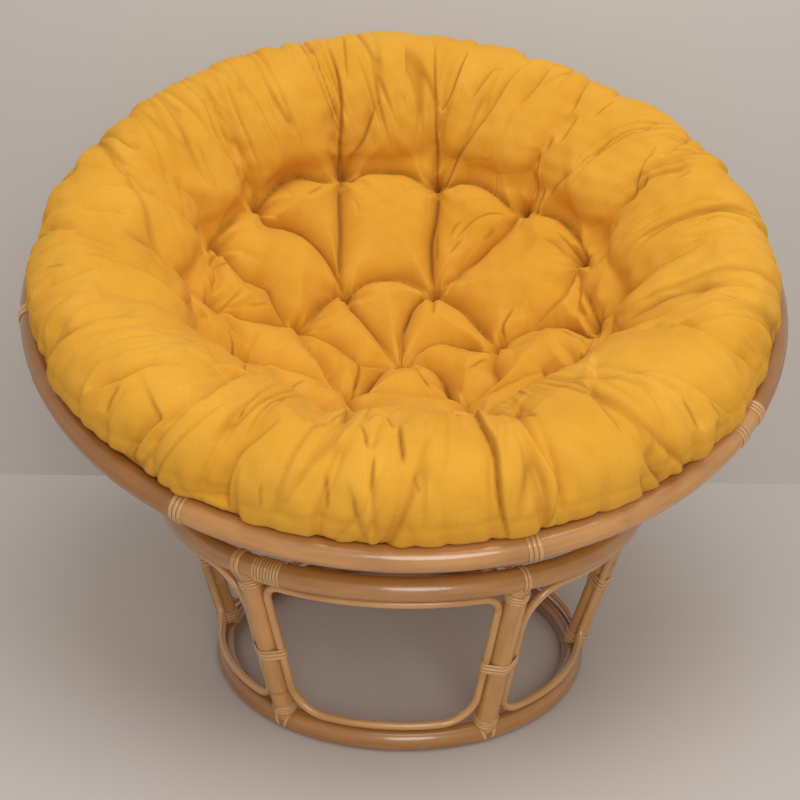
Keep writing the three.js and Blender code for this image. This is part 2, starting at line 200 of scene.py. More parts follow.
def unit(vectors):
    """The vectors at a length of 1."""
    return vectors / np.linalg.norm(vectors, axis=-1, keepdims=True)


def from_bowl(points):
    """Turns points of the bowl's own frame about X by the tilt, and moves them to the sphere's
    centre."""
    c, s = math.cos(tilt), math.sin(tilt)
    x, y, z = points[..., 0], points[..., 1], points[..., 2]
    return np.stack([x, y * c - z * s, y * s + z * c], -1) + sphere_centre


def circle_outline(radius, steps=28):
    """Points round a circle."""
    angle = np.arange(steps) / steps * TURN
    return np.stack([np.cos(angle), np.sin(angle)], -1) * radius


def run_length(points):
    """Length along a line of points, from its first point to each."""
    return np.concatenate([[0], np.cumsum(np.linalg.norm(np.diff(points, axis=0), axis=1))])


def joined_end(points):
    """A closed line of points with its first point once more at its end."""
    return np.concatenate([points, points[:1]])


def resampled(points, count):
    """A line of points in a plane, with count points at even lengths along it."""
    run = run_length(points)
    even = np.linspace(0, run[-1], count)
    return np.stack([np.interp(even, run, points[:, k]) for k in range(2)], 1)


def ramp(values, start, end):
    """0 up to start, 1 from end on, and straight between them."""
    return np.clip((values - start) / (end - start), 0, 1)


def grid_faces(rows, columns, closed_rows):
    """Quads between neighbours of a grid of rows by columns. Each row is closed, and where
    closed_rows is set the last row meets the first."""
    row = np.arange(rows if closed_rows else rows - 1)[:, None]
    column = np.arange(columns)[None]
    next_row, next_column = (row + 1) % rows, (column + 1) % columns
    corners = [(row, column), (row, next_column), (next_row, next_column), (next_row, column)]
    return np.stack([(r * columns + c).ravel() for r, c in corners], 1)


def add_piece(name, points, faces, body, material, replaces, uv, marks):
    """A smooth mesh piece from points (n, 3), faces as lists of points, the UV of each face corner
    in metres, and marks: by name, a value at each point for the material to read."""
    mesh = bpy.data.meshes.new(name)
    mesh.from_pydata(points.tolist(), [], faces)
    mesh.polygons.foreach_set("use_smooth", np.ones(len(mesh.polygons), bool))
    layer = mesh.uv_layers.new(name="UVMap")
    layer.data.foreach_set("uv", uv.astype(np.float32).ravel())
    for key, values in marks.items():
        attribute = mesh.attributes.new(key, "FLOAT", "POINT")
        attribute.data.foreach_set("value", values.astype(np.float32).ravel())
    mesh.validate()
    mesh.update()
    piece = bpy.data.objects.new(name, mesh)
    bpy.context.scene.collection.objects.link(piece)
    mesh.materials.append(material)
    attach(piece, body)
    if replaces:
        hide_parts(*replaces)
    return piece


def face_corners(rows, columns, faces, along, around, capped):
    """The faces of a grid of rows by columns as lists, with a flat face over each end where it is
    capped, and the UV of each face corner: along, a value a row, and around, a value a column and
    one more."""
    row, column = np.divmod(faces[:, 0], columns)
    corners = [(row, column), (row, column + 1), (row + 1, column + 1), (row + 1, column)]
    uv = np.stack([np.stack([along[r], around[c]], -1) for r, c in corners], 1).reshape(-1, 2)
    faces = faces.tolist()
    if capped:
        faces += [list(range(columns))[::-1], [(rows - 1) * columns + i for i in range(columns)]]
        uv = np.concatenate([uv, np.zeros((2 * columns, 2))])
    return faces, uv


def flipped(faces, uv):
    """The faces and their corners' UV in the other order, so that they face the other way."""
    starts = np.cumsum([0] + [len(f) for f in faces])
    uv = np.concatenate([uv[a:b][::-1] for a, b in zip(starts, starts[1:])])
    return [f[::-1] for f in faces], uv


def sweep(centres, normals, sections, closed):
    """Carries a section along a path. centres (n, 3) are the path, normals (n, 3) the direction of
    the section's first axis, square to the path, and sections (n, m, 2) its points along that axis
    and along path x normal. Returns points, faces and the UV of each face corner: metres along the
    path and round the section."""
    n, m = sections.shape[:2]
    ahead = np.roll(centres, -1, 0) - np.roll(centres, 1, 0)
    if not closed:
        ahead[0], ahead[-1] = centres[1] - centres[0], centres[-1] - centres[-2]
    ahead = unit(ahead)
    normals = unit(normals - (normals * ahead).sum(1, keepdims=True) * ahead)
    across = np.cross(ahead, normals)
    points = (
        centres[:, None]
        + sections[..., :1] * normals[:, None]
        + sections[..., 1:] * across[:, None]
    )
    along, around = run_length(joined_end(centres)), run_length(joined_end(sections[0]))
    faces, uv = face_corners(n, m, grid_faces(n, m, closed), along, around, not closed)
    return (points.reshape(-1, 3), *flipped(faces, uv))


def pole_swell(length, offset):
    """Radius factor and node mark along a rattan pole: a low ridge at each node and a slow waver of
    two sines."""
    count = max(1, round(length[-1] / node_spacing))
    gap = length[-1] / count
    way = length / length[-1] * TURN
    waver = np.sin(way * 2 + offset) * 0.008 + np.sin(way * 5 + offset * 3) * 0.006
    from_node = (length / gap + offset / TURN) % 1.0
    from_node = np.minimum(from_node, 1 - from_node) * gap
    ridge = np.exp(-((from_node / node_ridge) ** 2))
    return 1 + waver + ridge_share * ridge, np.exp(-((from_node / node_mark) ** 2))


def add_pole(name, centres, normals, radius, closed, body, material, replaces, sides=20):
    """A rattan pole: a round section carried along a path, swelling a little at its nodes. A ring's
    tone changes from pale at the front to brown, past the two bearings where the pale part ends: painted
    shade, where the cushion and the bowl shade the ring.
    Bearings are taken with the ring's outline from above drawn out to a circle."""
    factor, node = pole_swell(run_length(centres), rng.uniform(0, TURN))
    sections = circle_outline(radius, sides)[None] * factor[:, None, None]
    points, faces, uv = sweep(centres, normals, sections, closed)
    uv += rng.uniform(0, 10, 2)
    even = rng.uniform(0, 0.6)
    # On the rings the tone is painted shade; other poles get an even tone at random
    pale, brown, blend = ring_shade_tones.get(name, (even, even, 1))
    x, y = ((centres - centres.mean(0)) / np.maximum(np.ptp(centres, 0), MM))[:, :2].T
    away = np.abs(np.degrees(np.arctan2(x, -y)) - (pale_from + pale_to) / 2) - (pale_to - pale_from) / 2
    tone = pale + (brown - pale) * np.clip(away / blend, 0, 1)
    marks = {"node": np.repeat(node, sides), "tone": np.repeat(tone, sides)}
    return add_piece(name, points, faces, body, material, replaces, uv, marks)


def hull_outline(circles, steps):
    """Evenly spaced points round the outline that a tight strip takes about circles (x, y, radius):
    in each direction the furthest circle holds the strip, and between two circles it runs
    straight."""
    way = circle_outline(1, 720)
    circles = np.array(circles)
    held = (way @ circles[:, :2].T + circles[:, 2]).argmax(1)
    points = circles[held, :2] + way * circles[held, 2:]
    return resampled(joined_end(points), steps + 1)[:-1]


def add_wrap(name, outline, turns, width, pitch, spine, body, replaces, start=0.0, slant=0.0):
    """A strip of peel wound about a spine: it goes round an outline (m, 2) while it moves along by
    its pitch a turn. spine(s) gives the centre, across, out and along vectors at a distance s. Its
    outer face is slightly round."""
    m = len(outline)
    count = int(round(turns * m)) + 1
    index = (np.arange(count) + int(start * m)) % m
    ahead = np.roll(outline, -1, 0) - np.roll(outline, 1, 0)
    normal = unit(np.stack([ahead[:, 1], -ahead[:, 0]], -1))
    flat, out = outline[index], normal[index]
    s = (np.arange(count) - (count - 1) / 2) / m * pitch
    lean = slant * flat[:, 0] / np.abs(outline[:, 0]).max()
    centre, across, outward, along = spine(s + lean)
    base = centre + across * flat[:, :1] + outward * flat[:, 1:]
    up = unit(across * out[:, :1] + outward * out[:, 1:])
    profile = np.array(peel_shares) * [width, peel_thick]
    k = len(profile)
    points = base[:, None] + along[:, None] * profile[:, :1] + up[:, None] * profile[:, 1:]
    points = points.reshape(-1, 3)
    run = np.arange(count) * np.linalg.norm(np.diff(base, axis=0), axis=1).mean()
    around = np.arange(k + 1) * width / 3
    faces, uv = face_corners(count, k, grid_faces(count, k, False), run, around, True)
    uv += rng.uniform(0, 10, 2)
    if signed_volume(points, faces) < 0:
        faces, uv = flipped(faces, uv)
    marks = {"tone": np.full(len(points), rng.uniform(0, 0.4))}
    return add_piece(name, points, faces, body, peel_finish, replaces, uv, marks)


def signed_volume(points, faces):
    """Six times the volume inside faces, above zero where they point out."""
    total = 0.0
    for size in (3, 4, len(peel_shares)):
        chosen = np.array([f for f in faces if len(f) == size])
        if len(chosen):
            p = points[chosen]
            for k in range(1, size - 1):
                total += (p[:, 0] * np.cross(p[:, k], p[:, k + 1])).sum()
    return total


# Materials


def mixed_colour(tree, share, first, second):
    """A colour between two others. share is how much it has of the second."""
    sockets = {0: share.outputs[0], 6: first, 7: second}
    return add_node(tree, "ShaderNodeMix", sockets, data_type="RGBA").outputs[2]


def noise(tree, uv, long, wide, detail):
    """Noise whose spots are about so long and so wide, in metres, along the UV's two axes."""
    scaled = add_node(tree, "ShaderNodeMapping", {0: uv.outputs[0], 3: (1 / long, 1 / wide, 1)})
    sockets = {"Vector": scaled.outputs[0], "Scale": 1.0, "Detail": detail}
    return add_node(tree, "ShaderNodeTexNoise", sockets)


def relief(tree, height, depth):
    """A faint bump of a real depth."""
    sockets = {"Strength": 0.12, "Distance": depth, "Height": height.outputs[0]}
    return add_node(tree, "ShaderNodeBump", sockets)


def rattan(name, dark, mid, light, rough, coat, streak_mm=3.2):
    """Varnished rattan: straight fine pores along the pole give faint streaks of tan and honey,
    slow patches come from its drying, the nodes are a thin darker ring, and the varnish lies over
    it as a clear smooth gloss."""
    material, tree = new_material(name)
    uv = add_node(tree, "ShaderNodeUVMap", uv_map="UVMap")
    grain = noise(tree, uv, 200 * MM, streak_mm * MM, 3.0)
    blot = noise(tree, uv, 90 * MM, 30 * MM, 3.0)
    tone = add_node(tree, "ShaderNodeAttribute", attribute_name="tone")
    node = add_node(tree, "ShaderNodeAttribute", attribute_name="node")
    fine = add_node(tree, "ShaderNodeMapRange", {0: grain.outputs[0], 1: 0.3, 2: 0.7, 3: 0.25, 4: 0.65})
    broad = add_node(tree, "ShaderNodeMapRange", {0: blot.outputs[0], 1: 0.4, 2: 0.75, 4: 0.5})
    # The tone mark darkens each piece: its own tone at random, and on the rings painted shade as well
    each = add_node(tree, "ShaderNodeMath", {0: tone.outputs[2], 1: 0.4}, operation="MULTIPLY")
    ring = add_node(tree, "ShaderNodeMath", {0: node.outputs[2], 1: 0.5}, operation="MULTIPLY")
    colour = mixed_colour(tree, fine, linear(mid), linear(light))
    for share in (broad, each, ring):
        colour = mixed_colour(tree, share, colour, linear(dark))
    bump = relief(tree, grain, 0.3 * MM)
    shader = add_node(
        tree,
        "ShaderNodeBsdfPrincipled",
        {
            "Base Color": colour,
            "Roughness": rough,
            "IOR": 1.5,
            "Coat Weight": coat,
            "Coat Roughness": 0.07,
            "Normal": bump.outputs[0],
        },
    )
    add_node(tree, "ShaderNodeOutputMaterial", {"Surface": shader.outputs[0]})
    return material


def cotton():
    """Plain woven cotton, dyed mustard: matt, a little fuzzy at grazing light, with slubs in its
    threads. The weave is drawn at 1.6 mm, about three times the real thread spacing, so that it
    shows at all. In its tufts, folds and creases the colour is painted darker, a painted shade."""
    material, tree = new_material("mustard cotton canvas")
    uv = add_node(tree, "ShaderNodeUVMap", uv_map="UVMap")
    place = add_node(tree, "ShaderNodeTexCoord")
    sockets = {"Vector": place.outputs["Object"], "Scale": 9.0, "Detail": 3.0}
    cloud = add_node(tree, "ShaderNodeTexNoise", sockets)
    slubs = [noise(tree, uv, *size, 2.0).outputs[0] for size in ((30 * MM, 1.6 * MM), (1.6 * MM, 30 * MM))]
    weave = add_node(tree, "ShaderNodeMath", {0: slubs[0], 1: slubs[1]}, operation="ADD")
    soft = add_node(tree, "ShaderNodeMapRange", {0: cloud.outputs[0], 1: 0.3, 2: 0.7})
    thread = add_node(tree, "ShaderNodeMapRange", {0: weave.outputs[0], 1: 0.75, 2: 1.25, 4: 0.2})
    # Painted shade: the fold mark darkens the cloth towards brown #8f560f in its tufts, folds and creases,
    # where shade falls
    fold = add_node(tree, "ShaderNodeAttribute", attribute_name="fold")
    deep = add_node(tree, "ShaderNodeMapRange", {0: fold.outputs[2], 1: 0.12, 2: 0.95, 4: 0.8})
    colour = mixed_colour(tree, soft, linear("#d7992b"), linear("#e1a739"))
    colour = mixed_colour(tree, thread, colour, linear("#bd801b"))
    colour = mixed_colour(tree, deep, colour, linear("#8f560f"))
    bump = relief(tree, weave, 0.4 * MM)
    shader = add_node(
        tree,
        "ShaderNodeBsdfPrincipled",
        {
            "Base Color": colour,
            "Roughness": 0.9,
            "IOR": 1.45,
            "Specular IOR Level": 0.25,
            "Sheen Weight": 0.12,
            "Sheen Roughness": 0.5,
            "Sheen Tint": linear("#ffd98a"),
            "Normal": bump.outputs[0],
        },
    )
    add_node(tree, "ShaderNodeOutputMaterial", {"Surface": shader.outputs[0]})
    return material


pole_finish = rattan("varnished rattan pole", "#8a541c", "#c08545", "#d9a667", 0.34, 0.8)
cane_finish = rattan("varnished rattan cane", "#95591f", "#c8914f", "#e0b37a", 0.36, 0.7, 1.4)
peel_finish = rattan("varnished cane peel", "#9a642b", "#c9965a", "#e0b880", 0.34, 0.7, 0.8)
cotton_finish = cotton()


# Base


def post_angle(k):
    """A post's bearing. They stand evenly round."""
    return first_post + TURN / 6 * k


def cone_radius(z):
    """Radius of the cone that the posts and loops lie on."""
    return foot_ring + (top_ring - foot_ring) * (z - foot_height) / (top_height - foot_height)


def add_ring(name, radius, tube, height, body, count=240):
    """A pole bent into a circle about the vertical, or about the bowl's axis."""
    angle = (np.arange(count) / count + 0.5) * TURN
    centres = polar(radius, angle, height)
    normals = polar(1.0, angle, 0.0)
    if body == "bowl":
        tips = from_bowl(centres + normals)
        centres = from_bowl(centres)
        normals = tips - centres
    else:
        centres = centres + base_middle
    add_pole(name + "_pole", centres, normals, tube, True, body, pole_finish, [name])


def post_line(k):
    """A post's foot, head and the directions across it, out of the base and along it."""
    foot = polar(foot_ring, post_angle(k), foot_height) + base_middle
    head = polar(top_ring, post_angle(k), top_height) + base_middle
    along = unit(head - foot)
    across = polar(1.0, post_angle(k) + TURN / 4, 0.0)
    return foot, head, across, np.cross(across, along), along


def add_post(k):
    """A straight pole between the two rings."""
    foot, head, _, out, _ = post_line(k)
    share = np.linspace(0.02, 0.98, 60)[:, None]
    centres = foot + (head - foot) * share
    normals = np.repeat(out[None], len(centres), 0)
    name = "post_" + post_names[k]
    add_pole(name + "_pole", centres, normals, pole, False, "base", pole_finish, [name])


def add_loop(k):
    """A thin cane bent round the opening between two posts: four round corners joined by straight
    runs, all on the cone that the posts stand on."""
    slope = math.hypot(1, (top_ring - foot_ring) / (top_height - foot_height))
    low, high = foot_height + loop_drop / slope, top_height - loop_drop / slope
    top_corner, foot_corner = front_corners if k == 0 else side_corners
    offset = pole + loop_pole + loop_gap
    middle, half = post_angle(k) + TURN / 12, TURN / 12
    corner = np.linspace(0, TURN / 4, 16)

    def bend(radius, start, height):
        a = corner + start
        z = height + radius * np.sin(a)
        inset = radius - radius * np.abs(np.cos(a))
        side = 1 if start in (-TURN / 4, 0) else -1
        return np.stack([middle + side * (half - (offset + inset) / cone_radius(z)), z], -1)

    corners = [
        bend(foot_corner, -TURN / 4, low + foot_corner),
        bend(top_corner, 0, high - top_corner),
        bend(top_corner, TURN / 4, high - top_corner),
        bend(foot_corner, TURN / 2, low + foot_corner),
    ]
    path = []
    for here, after in zip(corners, corners[1:] + corners[:1]):
        path.append(here)
        share = np.linspace(0, 1, 22)[1:-1, None]
        path.append(here[-1] + (after[0] - here[-1]) * share)
    path = np.concatenate(path)
    centres = polar(cone_radius(path[:, 1]), path[:, 0], path[:, 1]) + base_middle
    normals = polar(1.0, path[:, 0], 0.0)
    name = "panel_loop_" + panel_names[k]
    slot, finish = "cane", cane_finish
    add_pole(name + "_cane", centres, normals, loop_pole, True, "base", finish, [name], 14)


def repeated(ways, count):
    """Each direction repeated count times."""
    return [np.repeat(way[None], count, 0) for way in ways]


def post_spine(k, middle):
    """A post's axis about a distance from its foot, with across, out and along vectors."""
    foot, _, across, out, along = post_line(k)

    def spine(s):
        return (foot + along * (middle + s)[:, None], *repeated((across, out, along), len(s)))

    return spine


def ring_spine(radius, height, middle, in_bowl=False):
    """A ring's centre line near an angle, with up, out and along vectors."""

    def spine(s):
        angle = middle + s / radius
        centre = polar(radius, angle, height)
        (up,) = repeated((np.array([0.0, 0.0, 1.0]),), len(s))
        ways = up, polar(1.0, angle, 0.0), polar(1.0, angle + TURN / 4, 0.0)
        if in_bowl:
            return (from_bowl(centre), *(from_bowl(way) - sphere_centre for way in ways))
        return (centre + base_middle, *ways)

    return spine


def add_post_wraps(k):
    """The peel wound round a post: turns below its head and above its foot, turns round its waist
    that take in the loops beside it, two strips over the top ring, and two strips that spread in a
    V over the foot ring."""
    place = post_names[k]
    foot, head, *_ = post_line(k)
    length = float(np.linalg.norm(head - foot))
    snug = circle_outline(pole + snug_gap)
    reach = pole + end_wrap_reach
    for end, at in (("head", length - reach), ("foot", reach)):
        name, replaced = f"{end}_wrap_{place}", [f"{end}_binding_{place}"]
        add_wrap(name, snug, 3, peel_fine, fine_pitch, post_spine(k, at), "base", replaced, 0.25)

    z = foot_height + (top_height - foot_height) * waist_share
    beside = pole + loop_pole + loop_gap
    inward = cone_radius(z) - math.sqrt(cone_radius(z) ** 2 - beside**2)
    loops = [(side * beside, -inward, loop_pole + snug_gap) for side in (1, -1)]
    outline = hull_outline([(0, 0, pole + snug_gap), *loops], 60)
    at_waist = post_spine(k, length * waist_share)
    name, replaced = f"waist_wrap_{place}", [f"waist_binding_{place}"]
    add_wrap(name, outline, 3, peel_wide, waist_pitch, at_waist, "base", replaced, 0.75, waist_slant)

    width, aside = first_strap if k == 0 else other_straps
    middle = post_angle(k) + aside / top_ring
    for side, label, replaced in ((-1, "left", [f"ring_strap_{place}"]), (1, "right", [])):
        over = ring_spine(top_ring, top_height, middle + side * (width + strap_gap) / 2 / top_ring)
        add_wrap(f"ring_strap_{place}_{label}", snug, 0.62, width, width, over, "base", replaced, 0.83)
        low = ring_spine(foot_ring, foot_height, post_angle(k) + side * foot_strap_place / foot_ring)
        name, slant = f"foot_strap_{place}_{label}", side * foot_strap_slant
        add_wrap(name, snug, 0.4, peel_wide, peel_wide, low, "base", [], 0.94, slant)


def build_base():
    """The two rings, the posts and loops between them, and their bindings."""
    add_ring("foot_ring", foot_ring, pole, foot_height, "base")
    add_ring("top_ring", top_ring, pole, top_height, "base")
    for k in range(6):
        add_post(k)
        add_loop(k)
        add_post_wraps(k)
    spine = ring_spine(top_ring, top_height, post_angle(0) + scarf_place / top_ring)
    snug = circle_outline(pole + snug_gap)
    add_wrap("scarf_wrap", snug, 9, peel_fine, scarf_pitch, spine, "base", ["scarf_binding"])


# Bowl


def add_lashing(name, rib_angle, hoop_radius):
    """Peel bound crosswise round a rib and the hoop inside it: two slanted loops whose outline,
    seen along each, is the hull of the rib's and the hoop's sections."""
    height = -math.sqrt(hoop_sphere**2 - hoop_radius**2)
    inner = polar(hoop_radius, rib_angle, height)
    outward = inner / np.linalg.norm(inner)
    middle = outward * (hoop_sphere + rib_sphere) / 2
    round_way = polar(1.0, rib_angle + TURN / 4, 0.0)
    up_way = np.cross(outward, round_way)
    apart = (rib_sphere - hoop_sphere) / 2
    circles = [(x, y, rib_pole + snug_gap) for x in (-lash_stretch, lash_stretch) for y in (-apart, apart)]
    outline = hull_outline(circles, 44)
    for side, label in ((-1, "a"), (1, "b")):
        across, along = unit(round_way + side * up_way), unit(up_way - side * round_way)
        ways = [from_bowl(way) - sphere_centre for way in (across, outward, along)]

        def spine(s):
            return (from_bowl(middle + along * s[:, None]), *repeated(ways, len(s)))

        add_wrap(f"{name}_{label}", outline, 2, lash_wide, lash_pitch, spine, "bowl", [], 0.25)


def build_bowl():
    """The rim, the hoops, the ribs and the peel that binds them. Ribs and hoops lie on two spheres
    about one centre."""
    add_ring("bowl_rim", rim_radius, rim_pole, -rim_depth, "bowl", 320)
    for name, radius in hoop_radii.items():
        add_ring(name, radius, rib_pole, -math.sqrt(hoop_sphere**2 - radius**2), "bowl")
    lowest = math.asin(hoop_radii["bowl_bottom_hoop"] / hoop_sphere) - rib_tail / rib_sphere
    rim_polar = math.atan2(rim_radius, rim_depth)
    highest = rim_polar - (rim_pole + rib_end_gap) / rib_sphere
    snug = circle_outline(rim_pole + snug_gap)
    for i, degrees in enumerate(rib_degrees):
        angle = math.radians(degrees)
        down = np.linspace(lowest, highest, 90)
        centres = from_bowl(polar(rib_sphere * np.sin(down), angle, -rib_sphere * np.cos(down)))
        name = f"rib_{i + 1}"
        normals, slot, finish = centres - sphere_centre, "pole", pole_finish
        add_pole(f"{name}_pole", centres, normals, rib_pole, False, "bowl", finish, [name], 16)
        spine = ring_spine(rim_radius, -rim_depth, angle, True)
        name, replaced = f"rim_wrap_{i + 1}", [f"rim_binding_{i + 1}"]
        add_wrap(name, snug, 3, peel_wide, rim_pitch, spine, "bowl", replaced, 0.6)
        for hoop, radius in hoop_radii.items():
            add_lashing(f"{hoop.split('_')[1]}_lashing_{i + 1}", angle, radius)
    spine = ring_spine(rim_radius, -rim_depth, math.radians(extra_wrap_degrees), True)
    add_wrap("rim_wrap_joint", snug, 3, peel_wide, rim_pitch, spine, "bowl", [], 0.6)


# Cushion

# Its section: the roll's crest, the ellipses inside and outside it, and the dish of the seat
crest = 462 * MM
crest_height = 96 * MM
roll_wide = 62 * MM
roll_high = 56 * MM
inner_face = 140 * MM
face_power = 1.25
inner_foot = -14 * MM
seat_drop = 152 * MM
seat_power = 1.9
rim_clear = 2.5 * MM

# How far the cover is drawn in below its fullest, and over what width
fullness = 16 * MM
tuft_sink = 78 * MM
tuft_wide, tuft_point = 36 * MM, 11 * MM
valley_sink = 52 * MM
valley_wide, valley_crease = 30 * MM, 6 * MM
valley_bows = (0.05, 0.13)
crease_share = 0.28
rim_valley_share = 0.7
petal_sink = 36 * MM
petal_wide = 38 * MM
petal_end = 530 * MM
point_share = 0.45
pucker_sink, pucker_count = 6 * MM, 7
pucker_wide, pucker_start = 26 * MM, 14 * MM
seat_fold, seat_fold_wide = 17 * MM, 26 * MM
roll_fold = 27 * MM
long_fold_wide, short_fold_wide = 38 * MM, 24 * MM
steep_side = 2.8 * MM
# How wide the line of painted shade along a fold is
fold_line = 4.4 * MM
bulge_at = 16 * MM
bulge_share = 0.32
upright_share = 0.6
full_depth_run = 80 * MM
# How wide the painted shade round a tuft is
dark_tuft = 9 * MM
loose_from = 50 * MM
crease_sink = 6 * MM
fine_crease_sink = 6.5 * MM
rumple_sink = 2 * MM
seam_run, seam_wide, seam_sink = 630 * MM, 4 * MM, 1.2 * MM
hem = 30 * MM

# Gathers at the seam: how many, how far from the middle each starts and ends, how wide its steep
# and its slow side are, and how deep it is
gathers = 46
gather_start, gather_end = (500 * MM, 600 * MM), (660 * MM, 710 * MM)
gather_steep, gather_slow = (5 * MM, 9 * MM), (18 * MM, 30 * MM)
gather_sink = (6 * MM, 13 * MM)

# How far from the middle the roll's trim, its fine creases and the creases outside it start and
# are full
trim_range = (380 * MM, 500 * MM)
roll_range = (360 * MM, 440 * MM)
outside_range = (450 * MM, 600 * MM)

# The least shares of the photograph's folds that join tufts, and that are deep right from their tuft,
# and how far a fold that counts as upright leans, as a share of its height
joining_from, main_from = 0.65, 0.75
upright_lean = 0.25

# How far below the fullest the photograph's folds and tufts lie, how near a fold's end is to its
# tuft, and how many pixels off a place may lie for each metre that it is nearer to the camera
seat_fold_inset, roll_fold_inset = 20 * MM, 5 * MM
pit_lip = 33 * MM
fold_reach = 68 * MM
nearer_px = 30

# The two outer tufts that the front of the roll hides
hidden_tufts = 313 * MM
hidden_degrees = [-15, 15]

# Underside: tufts, valleys, and how far it swells out to the ribs
cushion_sphere = 553 * MM
underside_edge = 505 * MM
under_tufts = ((6, 165 * MM), (12, 335 * MM))
first_tuft = math.radians(15)
under_neighbour = 215 * MM
under_valley = 22 * MM
under_petal = 26 * MM
under_swell, under_rumple = 18 * MM, 3 * MM
under_valley_sink, under_tuft_sink = 29 * MM, 20 * MM
under_wave, under_wave_length = 1.5 * MM, 70 * MM
at_rib_room, off_rib_room = 12 * MM, 6 * MM
rib_range = (11 * MM, 33 * MM)
hoop_range = (10 * MM, 28 * MM)
under_row = 5.5 * MM

# The two rows that lead from the rim in to the underside: radius, and height over the rim's plane
edge_rows = ((520 * MM, 18 * MM), (513 * MM, 8 * MM))

# How much thinner the roll is at some bearings, in degrees from the front towards the right
trim_degrees = [-180, -145, -115, -90, -55, -25, 0, 45, 80, 110, 140, 160, 180]
trims_mm = [-9, -6, 6, 10, 3, 0, -4, 0, 10, 13, 11, 1, -8]

# Pixels of the photograph where the tufts and the folds lie
middle_tuft_px = [(401, 372)]
inner_tufts_px = [(473, 413), (500, 353), (435, 297), (346, 300), (296, 334), (344, 405)]
outer_tufts_px = [
    (590, 390), (605, 343), (590, 277), (529, 218), (438, 193),
    (340, 183), (252, 218), (208, 261), (199, 325), (239, 384),
]
seat_folds_px = [
    (1, [(348, 183), (366, 174), (383, 173), (402, 174), (418, 182), (436, 193)]),
    (1, [(334, 185), (319, 184), (308, 177), (297, 176), (284, 182), (267, 194), (252, 218)]),
    (0.9, [(340, 191), (340, 218), (341, 237), (339, 261), (341, 293)]),
    (0.9, [(438, 200), (436, 225), (431, 243), (432, 270), (434, 294)]),
    (0.5, [(437, 229), (437, 269)]),
    (0.7, [(259, 223), (283, 226), (299, 232), (315, 245), (326, 256), (335, 269)]),
    (1, [(442, 193), (452, 186), (468, 183), (484, 188), (500, 199), (512, 209), (524, 221)]),
    (0.6, [(516, 219), (496, 219), (480, 225), (467, 235), (456, 246)]),
    (1, [(541, 217), (556, 219), (569, 228), (580, 241), (589, 263), (591, 276)]),
    (0.5, [(559, 236), (576, 251), (587, 266)]),
    (0.9, [(348, 296), (359, 286), (371, 280), (404, 278)]),
    (0.8, [(376, 280), (397, 283), (417, 289), (434, 296)]),
    (0.8, [(338, 294), (329, 298), (319, 309), (308, 323)]),
    (0.8, [(346, 304), (359, 314), (369, 326), (379, 339)]),
    (0.8, [(243, 281), (256, 286), (271, 288), (276, 303), (283, 321), (291, 331)]),
    (0.5, [(211, 269), (235, 271)]),
    (0.8, [(424, 298), (412, 309), (409, 318), (401, 338)]),
    (0.4, [(435, 303), (435, 328)]),
    (0.9, [(442, 298), (461, 308), (473, 319), (485, 333), (495, 346)]),
    (0.9, [(409, 364), (426, 350), (441, 343), (465, 347), (483, 354), (494, 357)]),
    (0.8, [(409, 375), (421, 386), (432, 398)]),
    (0.7, [(434, 368), (441, 374), (448, 394), (456, 405), (474, 411)]),
    (0.9, [(395, 368), (386, 367), (376, 376), (360, 397)]),
    (0.8, [(351, 400), (358, 379), (356, 359), (349, 352)]),
    (0.6, [(506, 346), (506, 334), (511, 323), (518, 313)]),
    (0.7, [(493, 361), (480, 369), (470, 382)]),
    (0.9, [(588, 297), (593, 311), (599, 324), (599, 340)]),
    (1, [(528, 331), (549, 327), (563, 324), (579, 329), (596, 339)]),
    (0.7, [(529, 335), (549, 334), (566, 338), (582, 346), (594, 352)]),
    (0.8, [(544, 372), (549, 384), (555, 397), (583, 387)]),
    (0.6, [(574, 372), (581, 362), (586, 356)]),
    (0.9, [(205, 258), (216, 239), (227, 227), (242, 215)]),
    (0.7, [(239, 385), (236, 365), (227, 344), (211, 337)]),
    (0.5, [(184, 344), (201, 356), (211, 370), (217, 378)]),
    (0.7, [(480, 410), (493, 407), (503, 402)]),
    (0.8, [(503, 417), (516, 414), (529, 417), (543, 422)]),
    (0.3, [(300, 203), (323, 189)]),
    (0.3, [(450, 245), (456, 233), (465, 226)]),
    (0.3, [(448, 263), (466, 245)]),
    (0.3, [(483, 248), (499, 233)]),
    (0.3, [(546, 245), (559, 251), (571, 261)]),
    (0.3, [(280, 395), (304, 394)]),
    (0.3, [(240, 314), (266, 313)]),
    (0.3, [(210, 322), (220, 311), (240, 296)]),
]
